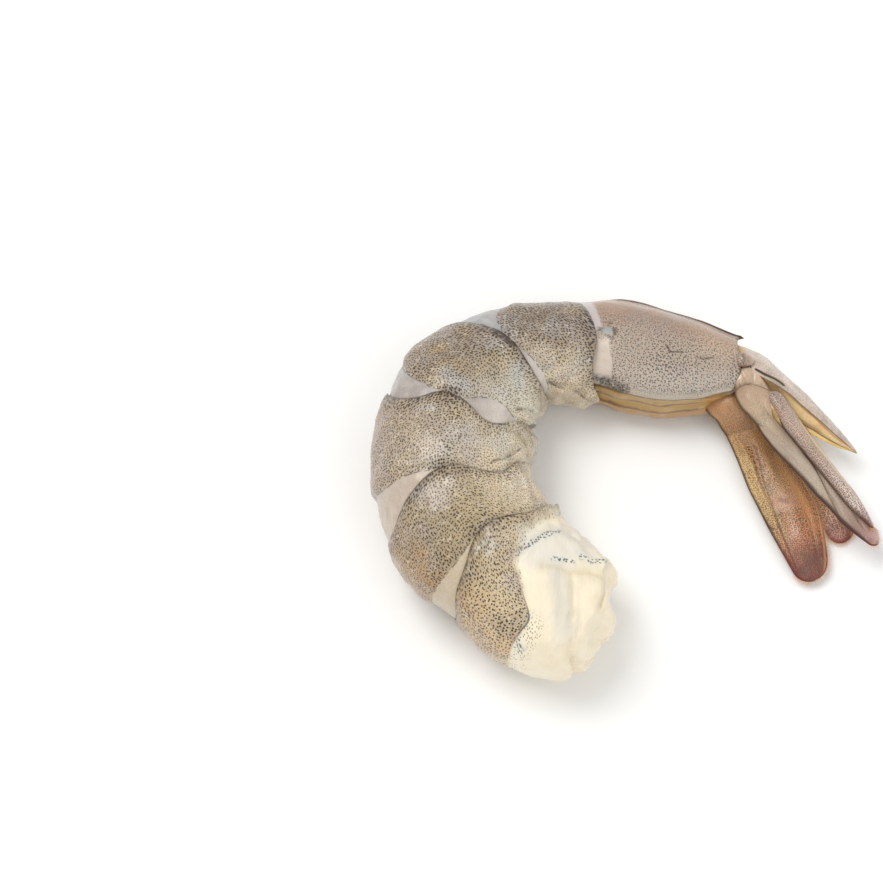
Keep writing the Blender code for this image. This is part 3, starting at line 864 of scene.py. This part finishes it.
# nets run from root to tip, and across from the outer to the inner edge, in tenths of a millimetre
plates = {
    "rightExopod": {
        "node": "right_exopod", "grid": (170, 120), "blunt": (0, 0.085), "bluntness": 3,
        "thick": (1.8, 1.5, 1.2, 1.0, 0.85, 0.75, 0.6),
        "net": [
            [126, 124, 34, 146, 131, 40, 170, 139, 42], [134, 107, 30, 158, 109, 38, 185, 116, 40],
            [150, 73, 24, 177, 78, 31, 208, 84, 31], [161, 45, 21, 192, 52, 27, 227, 59, 25],
            [173, 10, 19, 206, 20, 24, 246, 31, 21], [187, -21, 17, 223, -8, 22, 260, 7, 19],
            [200, -50, 16, 236, -36, 20, 271, -20, 17], [214, -78, 15, 246, -65, 19, 275, -49, 16],
            [226, -102, 14, 252, -90, 17, 278, -76, 15], [238, -125, 13, 258, -123, 14, 280, -111, 14],
        ],
        # each rib: its place across from root to tip, its breadth and height, and where it starts and stops
        "ribs": [
            ((-0.45, -0.5, -0.7, -0.85), 0.15, 0.38, 0.2, 0.95),
            ((0.05, -0.15, -0.48, -0.66, -0.75), 0.07, -0.26, 0.28, 0.92),
            ((0.3, 0.1, 0.0, -0.1), 0.22, 0.22, 0.25, 0.8),
            ((0.62, 0.5, 0.45), 0.1, -0.14, 0.3, 0.9),
        ],
        "lines": {
            "groove": [(0.26, 0.0), (0.37, -0.18), (0.5, -0.42), (0.61, -0.57), (0.75, -0.68), (0.9, -0.75)],
            "tooth": [(0.6, -0.99), (0.65, -0.95), (0.67, -0.86)],
            "blotch": [(0.55, -0.15), (0.57, 0.0)],
        },
    },
    "rightEndopod": {
        "node": "right_endopod", "grid": (120, 96), "blunt": (0, 0.16), "bluntness": 2.3,
        "thick": (1.2, 0.8, 0.6, 0.5, 0.45),
        "net": [
            [153, 130, 18, 164, 136, 20, 176, 142, 20], [183, 85, 11, 200, 94, 12, 217, 103, 12],
            [218, 33, 8, 240, 44, 9, 263, 56, 9], [247, -5, 7, 269, 6, 8, 292, 19, 8],
            [266, -31, 6, 286, -19, 7, 307, -5, 7], [280, -50, 5, 298, -38, 6, 316, -26, 7],
            [290, -73, 5, 309, -62, 5, 326, -49, 6],
        ],
        "ribs": [((0.0, 0.0), 0.25, 0.12, 0.1, 0.9)],
    },
    "leftExopod": {
        "node": "left_exopod", "grid": (150, 110), "blunt": (0.05, 0.04),
        "thick": (1.3, 1.2, 1.0, 0.85, 0.7, 0.5),
        "net": [
            [165, 110, 73, 183, 114, 76, 199, 121, 74, 216, 128, 64],
            [175, 94, 76, 192, 99, 78, 208, 108, 72, 225, 119, 60],
            [188, 69, 76, 203, 79, 77, 220, 91, 68, 238, 103, 56],
            [204, 47, 74, 221, 59, 73, 238, 73, 64, 255, 84, 53],
            [225, 24, 71, 241, 38, 69, 258, 52, 61, 267, 58, 52],
            [242, 5, 69, 260, 19, 66, 277, 33, 58, 282, 37, 50],
            [261, -18, 66, 278, -4, 63, 295, 10, 55, 299, 13, 48],
            [277, -34, 63, 294, -22, 60, 311, -9, 52, 313, -7, 46],
            [292, -52, 60, 308, -42, 57, 324, -30, 49, 325, -28, 44],
            [308, -66, 57, 320, -59, 54, 332, -49, 47, 333, -48, 43],
            [323, -77, 54, 331, -71, 52, 338, -63, 46, 344, -57, 40],
            [336, -86, 51, 341, -83, 50, 344, -78, 46, 346, -73, 42],
        ],
        "ribs": [
            ((-0.5, -0.5, -0.6, -0.85, -0.9), 0.26, 0.45, 0.05, 0.9),
            ((0.1, 0.05, -0.4, -0.8, -0.9), 0.08, -0.34, 0.05, 0.72),
            ((0.35, 0.2, -0.1, -0.4), 0.1, 0.2, 0.1, 0.7),
            ((-0.1, -0.1, -0.2, -0.3), 0.06, -0.14, 0.55, 0.95),
        ],
        "lines": {
            "groove": [(0.14, 0.28), (0.27, 0.12), (0.38, -0.1), (0.48, -0.42), (0.57, -0.67), (0.68, -0.9)],
        },
    },
    "leftEndopod": {
        "node": "left_endopod", "grid": (140, 100), "blunt": (0.08, 0.03),
        "thick": (1.3, 1.3, 1.0, 0.8, 0.65, 0.5, 0.4),
        "net": [
            [192, 127, 78, 202, 127, 84, 214, 128, 76], [198, 118, 83, 208, 117, 90, 220, 120, 79],
            [207, 99, 84, 217, 101, 88, 228, 108, 76], [216, 78, 82, 228, 85, 84, 240, 93, 71],
            [230, 60, 79, 241, 68, 80, 251, 77, 67], [246, 40, 76, 257, 46, 76, 270, 52, 63],
            [264, 17, 73, 276, 23, 72, 287, 26, 59], [283, -7, 69, 294, 0, 68, 305, 3, 56],
            [300, -28, 65, 310, -20, 63, 321, -20, 53], [315, -42, 61, 324, -36, 59, 330, -37, 51],
            [328, -53, 58, 332, -51, 56, 336, -49, 50], [334, -60, 55, 336, -59, 54, 337, -57, 52],
        ],
        "ribs": [
            ((-0.3, -0.3, -0.35), 0.3, 0.3, 0.1, 0.9),
            ((0.6, 0.55, 0.5, 0.35), 0.09, -0.2, 0.3, 0.9),
            ((0.1, 0.0, -0.1), 0.07, -0.12, 0.45, 0.95),
        ],
        "lines": {"groove": [(0.3, 0.62), (0.42, 0.58), (0.58, 0.5), (0.68, 0.42)]},
    },
    "leftBase": {
        "node": "left_tail_base", "grid": (90, 96), "blunt": (0.14, 0), "fullness": 0.6,
        "thick": (1.2, 1.7, 1.5, 1.1, 0.6, 0.1),
        "net": [
            [154, 136, 70, 168, 139, 82, 187, 135, 83, 207, 131, 76],
            [155, 124, 75, 168, 125, 88, 185, 123, 89, 205, 121, 82],
            [161, 108, 78, 172, 109, 89, 185, 110, 90, 203, 110, 84],
            [170, 97, 78, 180, 98, 87, 191, 99, 88, 204, 100, 83],
            [181, 83, 76, 189, 85, 82, 198, 88, 82, 208, 92, 78],
            [195, 69, 71, 200, 72, 75, 206, 76, 74, 212, 82, 70],
        ],
        "rough": 0.07,
        "lines": {"fold": [(0.02, 0.25), (0.1, 0.6), (0.24, 0.82), (0.45, 0.9), (0.6, 0.9)]},
        "ribs": [((0.0, 0.4, 0.9), 0.2, -0.25, 0.3, 0.9), ((-0.3, -0.3), 0.3, 0.3, 0.2, 0.9)],
    },
    "rightBase": {
        "node": "right_tail_base", "grid": (80, 90), "blunt": (0.2, 0), "fullness": 0.6,
        "thick": (2.0, 2.4, 2.0, 1.2, 0.1),
        "net": [
            [109, 134, 32, 132, 140, 48, 157, 143, 52], [120, 118, 34, 141, 124, 50, 165, 129, 54],
            [131, 108, 32, 150, 111, 47, 176, 114, 52], [138, 95, 29, 158, 97, 42, 186, 101, 45],
            [148, 79, 26, 166, 82, 35, 191, 89, 37],
        ],
        "rough": 0.08,
    },
}

# weave: how dark the dots are; edges: how dark the left, the right and the tip edge are
plateTones = "root upper middle lower tip rib line edge glow dot weave edges".split()
plateColours = {
    "rightExopod": (
        (184, 136, 92), (182, 136, 92), (196, 156, 116), (200, 138, 102), (140, 82, 64), (212, 178, 122),
        (104, 72, 48), (70, 44, 36), (232, 176, 120), (58, 34, 26), 0.8, (0.9, 0.25, 0.7)
    ),
    "rightEndopod": (
        (186, 138, 96), (240, 176, 116), (250, 196, 150), (244, 200, 176), (196, 140, 124), (216, 170, 130),
        (120, 80, 64), (104, 54, 46), (240, 178, 116), (62, 38, 32), 0.75, (0.3, 0.3, 0.7)
    ),
    "leftExopod": (
        (200, 180, 150), (178, 156, 134), (164, 138, 120), (166, 136, 124), (206, 164, 156), (186, 170, 152),
        (92, 64, 36), (60, 34, 16), (206, 176, 138), (84, 62, 50), 0.3, (0.95, 0.6, 0.4)
    ),
    "leftEndopod": (
        (166, 144, 132), (194, 168, 150), (200, 174, 154), (236, 218, 206), (194, 164, 156), (178, 156, 144),
        (206, 178, 142), (84, 60, 42), (226, 200, 164), (84, 64, 58), 0.85, (0.9, 0.1, 0.4)
    ),
    "leftBase": (
        (170, 142, 118), (184, 156, 130), (200, 174, 146), (198, 178, 148), (200, 184, 156), (204, 178, 152),
        (84, 60, 44), (84, 60, 40), (206, 176, 140), (104, 78, 62), 0.35, (0.85, 0.3, 0.0)
    ),
    "rightBase": (
        (196, 142, 86), (190, 142, 98), (186, 140, 100), (178, 132, 90), (174, 128, 86), (196, 150, 104),
        (120, 84, 54), (86, 56, 32), (206, 150, 96), (92, 62, 42), 0.45, (0.8, 0.1, 0.0)
    ),
}


def paintPlate(name, look, lines):
    p = Paint(name, look)
    along, side, upper = p.mark("along"), p.mark("side"), p.mark("upper")
    left, right, tip = p.mark("leftAway"), p.mark("rightAway"), p.mark("tipAway")
    slow, patch = p.cloud(4, 2), p.cloud(1.4)
    shifted = along + (slow - 0.5) * 0.16
    p.colour = shifted.ramp([(0.0, "root"), (0.22, "upper"), (0.5, "middle"), (0.76, "lower"), (0.95, "tip")])
    joint = name.endswith("Base")
    ribbed = (side + (patch - 0.5) * 0.15).rise(-0.05 if name == "leftExopod" else -0.35, -0.6)
    p.lay(ribbed * along.rise(0.85, 0.55) * along.rise(0.1, 0.36) * 0.9, "rib")
    p.lay(patch.rise(0.52, 0.75) * 0.4, "middle")
    p.lay(slow.rise(0.52, 0.7) * 0.35, "rib")
    grain = p.cloud(0.9, place=p.stretch(-48 if name.startswith("left") else -66, 10))
    p.lay(grain.rise(0.5, 0.75) * 0.35, "line")

    # fine rows of dots, densest towards the tip, and larger ones by the rib
    spread = along.rise(0.25, 0.65) * 0.09 + (patch - 0.5) * 0.25
    if joint:
        spread = spread + along.rise(0.35, 0.9) * 0.08
    if name == "leftEndopod":
        spread = spread + along.rise(0.22, 0.08) * 0.1
    if name == "rightExopod":
        spread = spread - along.rise(0.22, 0.04) * 0.25
    weave = p.spots(0.3, 0.23 + spread, 0.1, 0.6)
    finer = p.spots(0.19, 0.24 + spread, 0.14, 0.8)
    p.lay(weave * look["weave"], "dot")
    p.lay(finer * look["weave"] * 0.5, "dot")
    if name == "rightExopod":
        coarse = p.spots(0.56, 0.25 + (patch - 0.5) * 0.2, 0.07)
        p.lay(coarse * side.near(-0.25, 0.55) * along.near(0.34, 0.22) * 0.8, "dot")
        p.lay(side.near(0.55, 0.35) * along.near(0.56, 0.3) * 0.6, (212, 150, 96))
        p.lay(p.mark("blotch").rise(2.2, 0.4) * 0.5, (206, 160, 138))
    if name == "leftEndopod":
        p.lay(side.rise(0.45, 0.62) * along.rise(0.72, 0.58) * along.rise(0.26, 0.34) * 0.8, (216, 192, 158))
    reddish = name.startswith("right") and name.endswith("opod")
    dusk = along.rise(0.7, 0.95) * p.patches(2.4, 0.36, 0.62, 3)
    p.lay(dusk * (0.7 if reddish else 0.15 if name.endswith("opod") else 0), (98, 58, 52))

    for mark in lines:
        away = p.mark(mark) + (p.cloud(1.2, 2) - 0.5) * 0.2
        reach = 0.6 if mark == "blotch" else 0.22
        strength = {"groove": 0.65, "tooth": 0.95}.get(mark, 0.5)
        p.lay(away.rise(reach, 0.04) * strength, "line")
    wavering = (p.cloud(1.6, 2) - 0.5) * 0.2
    low, high, end = look["edges"]
    # painted glow: light shining through the thin plate beside its right edge
    p.lay((right + wavering).near(0.42, 0.3) * 0.4 * along.rise(0.3, 0.5), "glow")
    p.lay((right + wavering).rise(0.22, 0.04) * high, "edge")
    p.lay((left + wavering).rise(0.5, 0.1) * low * along.rise(0.03, 0.12), "edge")
    p.lay((tip + wavering).rise(0.7, 0.1) * end, "edge")
    if joint:
        p.lay((left + wavering).rise(0.9, 0.3) * low, "edge")
        p.lay((p.mark("rootAway") + wavering).rise(0.75, 0.25) * 0.9, "edge")
    red = left.least(tip).rise(1.1, 0.1) * along.rise(0.7, 0.9) * p.patches(0.9, 0.3, 0.6)
    p.lay(red * (0.75 if reddish else 0.25 if name.endswith("opod") else 0), (120, 36, 36))
    p.lay(upper.rise(0.0, -0.4) * 0.25, "middle")
    relief = p.cloud(0.6, 4) + grain * 0.9 - weave * 0.15
    margin = (left + wavering).rise(1.0, 0.3)
    wet = (0.42 if joint else 0.3) + (patch - 0.5) * 0.2 + margin * 0.3
    return p.finish(wet, relief, 0.07, ((1 - margin) * 0.25, 0.24), (0.1, 0.6))


for name, look in plates.items():
    colours = dict(zip(plateTones, plateColours[name]))
    settle(makePlate(name, look), paintPlate(name, colours, look.get("lines", ())), look["node"])


# soft parts between the last shell and the tail
folds = {
    "membrane": {
        "grid": (60, 80), "blunt": (0.2, 0.2), "fullness": 0.5, "thick": (0.6, 0.8, 0.8, 0.6),
        "net": [
            [156, 169, 80, 169, 166, 83, 181, 165, 80], [153, 155, 83, 171, 154, 85, 191, 149, 82],
            [153, 141, 80, 175, 141, 81, 202, 133, 78], [157, 131, 66, 179, 132, 69, 209, 125, 64],
        ],
        "rough": 0.2,
        "ribs": [((0.6, 0.2, -0.4), 0.12, -0.22, 0.1, 0.9), ((-0.5, -0.2, 0.3), 0.1, 0.16, 0.2, 0.8)],
        "colours": ((194, 168, 144), (208, 184, 160), (150, 118, 84)),
    },
    "knuckle": {
        "grid": (44, 56), "blunt": (0.4, 0.4), "thick": (1.0, 1.3, 1.0),
        "net": [
            [155, 183, 82, 162, 185, 88, 173, 185, 81], [154, 174, 84, 165, 174, 91, 180, 177, 81],
            [158, 167, 83, 167, 164, 87, 177, 169, 79],
        ],
        "rough": 0.16,
        "colours": ((164, 142, 128), (190, 164, 144), (66, 46, 36)),
    },
    "web": {
        "grid": (50, 48), "blunt": (0.2, 0.2), "thick": (0.8, 0.9, 0.8, 0.6),
        "net": [
            [196, 114, 85, 200, 114, 87, 205, 113, 86], [200, 101, 83, 204, 102, 86, 210, 102, 84],
            [207, 90, 80, 211, 90, 83, 215, 92, 81], [214, 80, 77, 216, 79, 79, 218, 80, 78],
        ],
        "rough": 0.06,
        "colours": ((184, 146, 92), (204, 172, 118), (92, 62, 30)),
    },
}


def paintFold(name, look):
    p = Paint(name, look)
    patch = p.cloud(1.2)
    base, pale, dark = look["colours"]
    p.colour = p.mix(patch.rise(0.35, 0.65), base, pale)
    streak = p.cloud(0.8, place=p.stretch(-75, 6))
    p.lay(streak.rise(0.5, 0.7) * 0.35, dark)
    edge = p.mark("rightAway").least(p.mark("tipAway"))
    edge = edge if name == "knuckle" else edge.least(p.mark("leftAway"))
    p.lay((edge + (patch - 0.5) * 0.3).rise(0.5, 0.08) * 0.85, dark)
    dotted = p.mark("leftAway").rise(2.2, 0.8) if name == "knuckle" else 0.4
    p.lay(p.spots(0.3, 0.27, 0.1) * dotted * 0.8, dark)
    return p.finish(0.28 + (patch - 0.5) * 0.2, p.cloud(0.7, 4) + streak, 0.1, (0.35, 0.15), (0.2, 0.7))


for name, look in folds.items():
    settle(makePlate(name, look), paintFold(name, look), "last_shell")


print("telson")

telsonLook = {
    "rows": 130,
    "around": 120,
    # rings from root to tip, in tenths of a millimetre: top of the back, its slope, the slit, the ridge
    # and just under it, the belly face, its lower edge, the margin, and two places on the far side
    "rings": [
        [170, 211, 48, 172, 187, 76, 176, 167, 85, 178, 159, 86, 180, 158, 83,
         183, 156, 68, 186, 153, 54, 189, 153, 44, 185, 179, 22, 175, 207, 24],
        [183, 205, 48, 185, 182, 75, 190, 160, 84, 195, 149, 85, 196, 148, 82,
         199, 145, 69, 202, 142, 53, 203, 141, 44, 200, 173, 18, 186, 200, 22],
        [202, 194, 49, 203, 172, 74, 206, 152, 82, 212, 139, 82, 214, 137, 79,
         216, 133, 66, 217, 127, 50, 220, 124, 42, 216, 158, 16, 204, 186, 22],
        [229, 165, 50, 227, 149, 70, 228, 138, 77, 229, 128, 78, 229, 125, 74,
         229, 117, 62, 233, 107, 48, 234, 104, 41, 236, 136, 18, 232, 158, 24],
        [253, 141, 50, 249, 128, 66, 248, 119, 71, 247, 113, 72, 246, 111, 68,
         244, 102, 58, 249, 96, 47, 250, 91, 41, 255, 119, 20, 254, 136, 28],
        [275, 115, 50, 272, 107, 61, 270, 101, 65, 269, 95, 66, 267, 94, 62,
         265, 87, 54, 269, 83, 46, 270, 77, 42, 276, 100, 24, 276, 110, 32],
        [298, 86, 50, 295, 81, 57, 294, 78, 59, 292, 75, 60, 289, 73, 57,
         289, 69, 52, 295, 66, 47, 297, 62, 43, 300, 77, 32, 300, 85, 38],
        [313, 66, 49, 312, 64, 52, 311, 62, 53, 310, 61, 54, 309, 61, 52,
         309, 59, 49, 312, 57, 46, 313, 56, 44, 314, 62, 41, 314, 65, 44],
        [322, 53, 48, 321, 53, 48, 321, 53, 48, 321, 53, 48, 321, 53, 48,
         321, 53, 48, 321, 52, 47, 322, 52, 46, 322, 53, 47, 322, 53, 47],
    ],
    "slit": [(18.3, 16.2, 8.4), (19.5, 15.5, 8.3), (20.9, 15.0, 8.1), (21.6, 14.6, 8.0), (22.1, 14.2, 7.8)],
}


def ringSurface(rings, share, turn):  # turn counts the places round a ring
    rings = np.array(rings).reshape(len(rings), -1, 3) / 10
    lines = curveThrough(rings, share * (len(rings) - 1)).swapaxes(0, 1)
    closed = np.concatenate([lines[-2:], lines, lines[:3]])
    return curveThrough(closed, turn + 2).swapaxes(0, 1)


def makeTelson(look):
    turn = np.linspace(0, 10, look["around"] + 1)
    share = evenRows(look["rows"], 0.3)
    places = ringSurface(look["rings"], share, turn)
    slit = distanceTo(places * (1, 1, 0), np.array(look["slit"]) * (1, 1, 0))
    slit += 9 * (np.abs(turn - 2.4) > 1.5)
    out = places - places.mean(1, keepdims=True)
    out /= np.maximum(np.linalg.norm(out, axis=-1, keepdims=True), 0.3)
    depth = 0.4 * bump(slit, 0, 0.22) - 0.05 * lumps(places, 1.6) - 0.12 * bump(turn, 0.0, 0.25)
    marks = {"along": share[:, None] + 0 * slit, "turn": turn + 0 * slit, "slit": slit}
    return wrapGrid("pointedTelson", *closeEnds(places - out * depth[..., None], marks))


telsonColours = {
    "back": (206, 188, 172),
    "backShade": (186, 168, 156),
    "backEdge": (110, 100, 96),
    "slit": (66, 56, 36),
    "greenish": (162, 156, 130),
    "ridge": (206, 150, 66),
    "ridgeLine": (62, 46, 26),
    "belly": (244, 220, 168),
    "bellyPink": (236, 200, 150),
    "lowerLine": (92, 70, 28),
    "yellow": (240, 200, 96),
}


def paintTelson(look):
    p = Paint("telson", look)
    along, turn, slit = p.mark("along"), p.mark("turn"), p.mark("slit")
    patch = p.cloud(1.6)
    wave = turn + (p.cloud(2, 2) - 0.5) * 0.14
    p.colour = p.mix(patch.rise(0.4, 0.7), "back", "backShade")
    p.lay(turn.rise(0.35, 0.0).most(turn.rise(9.6, 10.0)) * 0.8, "backEdge")
    p.lay(wave.near(2.6, 0.6) * along.near(0.24, 0.13) * 0.85, "greenish")
    fine = p.spots(0.3, 0.26 + (patch - 0.5) * 0.3, 0.12)
    p.lay(fine * 0.5 * turn.rise(3.2, 2.6), (104, 86, 78))
    belly = p.mix(patch.rise(0.4, 0.65), "belly", "bellyPink")
    belly = p.mix(p.spots(0.34, 0.22, 0.12) * 0.35, belly, (216, 160, 112))
    p.lay(wave.rise(3.35, 3.9), belly)
    p.lay(wave.near(3.72, 0.42) * 0.85, "ridge")
    p.lay(wave.near(3.08, 0.36) * 0.9 * along.rise(0.06, 0.2), "ridgeLine")
    p.lay(wave.rise(6.2, 6.6), "yellow")
    p.lay(wave.near(5.95, 0.3) * 0.9, "lowerLine")
    p.lay(turn.rise(7.6, 8.2) * turn.rise(9.9, 9.5), "back")
    p.lay(slit.rise(0.34, 0.1) * 0.95, "slit")
    p.lay(along.rise(0.92, 1.0) * 0.6, (150, 96, 50))
    return p.finish(0.28 + (patch - 0.5) * 0.15, p.cloud(0.6, 4), 0.05, (0.35, 0.15), (0.15, 0.8))


settle(makeTelson(telsonLook), paintTelson(telsonColours), "telson")


print("fringe")

fringeLook = {
    "length": (0.45, 0.85),
    "radius": 0.035,
    "apart": 0.08,
    # where along each plate the hairs start, on its inner and its outer edge
    "starts": {"rightExopod": (0.45, 0.93), "rightEndopod": (0.5, 0.85), "leftExopod": (0.6, 0.93),
               "leftEndopod": (0.3, 0.97)},
    "seed": 5,
}


def makeFringe(look, name):  # fine hairs along the inner margin and round the tip
    inner, outer = look["starts"][name]
    plate = plates[name]
    rng = np.random.default_rng(look["seed"])
    share = np.clip(np.concatenate([np.linspace(inner, 1, 300), np.linspace(1, outer, 80)]), 0, 0.9995)
    across = np.array([-0.99, 0.0, 0.99])
    face = netSurface(plate["net"], share, across, plate["blunt"], plate.get("bluntness", 2))[0]
    line, middle = np.concatenate([face[:300, 2], face[300:, 0]]), face[:, 1]
    run = runAlong(line, 0)
    count = int(run[-1] / look["apart"])
    at = (np.arange(count) + rng.uniform(-0.3, 0.3, count)) * look["apart"]
    feet, inside = (
        np.stack([np.interp(at, run, column) for column in values.T], -1) for values in (line, middle)
    )
    tip = unit(middle[300] - middle[240])
    way = unit(unit(feet - inside + tip * 0.4) + 0.7 * tip + rng.normal(0, 0.12, (count, 3)))
    length = rng.uniform(*look["length"], count)[:, None]
    across = unit(np.cross(way, (0, 0, 1)))
    up = np.cross(across, way)
    corners = []
    for turn in np.linspace(0, 2 * math.pi, 3, endpoint=False):
        corners.append(feet - way * 0.1 + (across * math.cos(turn) + up * math.sin(turn)) * look["radius"])
    points = np.stack([*corners, feet + way * length], 1).reshape(-1, 3)
    points[:, 2] = np.maximum(points[:, 2], 0.03)
    sides = ((0, 1, 3), (1, 2, 3), (2, 0, 3), (2, 1, 0))
    faces = [tuple(4 * i + k for k in corner) for i in range(count) for corner in sides]
    data = bpy.data.meshes.new(name + "Fringe")
    data.from_pydata((points * mm).tolist(), [], faces)
    data.update()
    piece = bpy.data.objects.new(name + "Fringe", data)
    bpy.context.scene.collection.objects.link(piece)
    return piece


def paintFringe():
    p = Paint("fringe")
    p.colour = p.mix(p.patches(1, 0.35, 0.65), (250, 206, 150), (236, 164, 112))
    return p.finish(0.5, Alpha=0.6)


fringePaint = paintFringe()
for name in fringeLook["starts"]:
    settle(makeFringe(fringeLook, name), fringePaint)


print("floor, light and camera")

studio = {
    "eye": (-25.312, -109.094, 324.584),
    "tilt": 20.0,
    "lens": 100.0,
    "sensor": 36.0,
    "floorSize": 3.0,
    "floor": (250, 250, 249),
    "skyStrength": 0.68,
    # name, place and width in metres, watts, colour
    "lamps": [
        ("key", (-0.35, 0.25, 0.75), 0.45, 3.8, (1.0, 0.99, 0.97)),
        ("fill", (0.5, -0.45, 0.6), 0.7, 1.3, (0.97, 0.98, 1.0)),
    ],
}


def makeStudio(look):
    bpy.ops.object.select_all(action="DESELECT")
    bpy.ops.mesh.primitive_plane_add(size=look["floorSize"])
    floor = bpy.context.object
    floor.name = "floor"
    p = Paint("floor", look)
    p.colour = p.mix(p.cloud(300, 2) * 0.06, "floor", (236, 236, 234))
    p.finish(0.7)
    floor.data.materials.append(p.material)
    world = bpy.data.worlds.new("studio")
    world.use_nodes = True
    world.node_tree.nodes["Background"].inputs["Color"].default_value = (1, 1, 1, 1)
    world.node_tree.nodes["Background"].inputs["Strength"].default_value = look["skyStrength"]
    bpy.context.scene.world = world
    for name, place, width, watts, colour in look["lamps"]:
        bpy.ops.object.light_add(type="AREA", location=place)
        lamp = bpy.context.object
        lamp.name = name
        lamp.data.size, lamp.data.energy, lamp.data.color = width, watts, colour
        lamp.rotation_euler = (-Vector(place)).to_track_quat("-Z", "Y").to_euler()
    eye = Vector(look["eye"]) * mm
    bpy.ops.object.camera_add(location=eye, rotation=(math.radians(look["tilt"]), 0, 0))
    camera = bpy.context.object
    camera.data.lens, camera.data.sensor_width = look["lens"], look["sensor"]
    camera.data.clip_start = 0.01
    bpy.context.scene.camera = camera
    bpy.context.scene.view_settings.view_transform = "Standard"


makeStudio(studio)
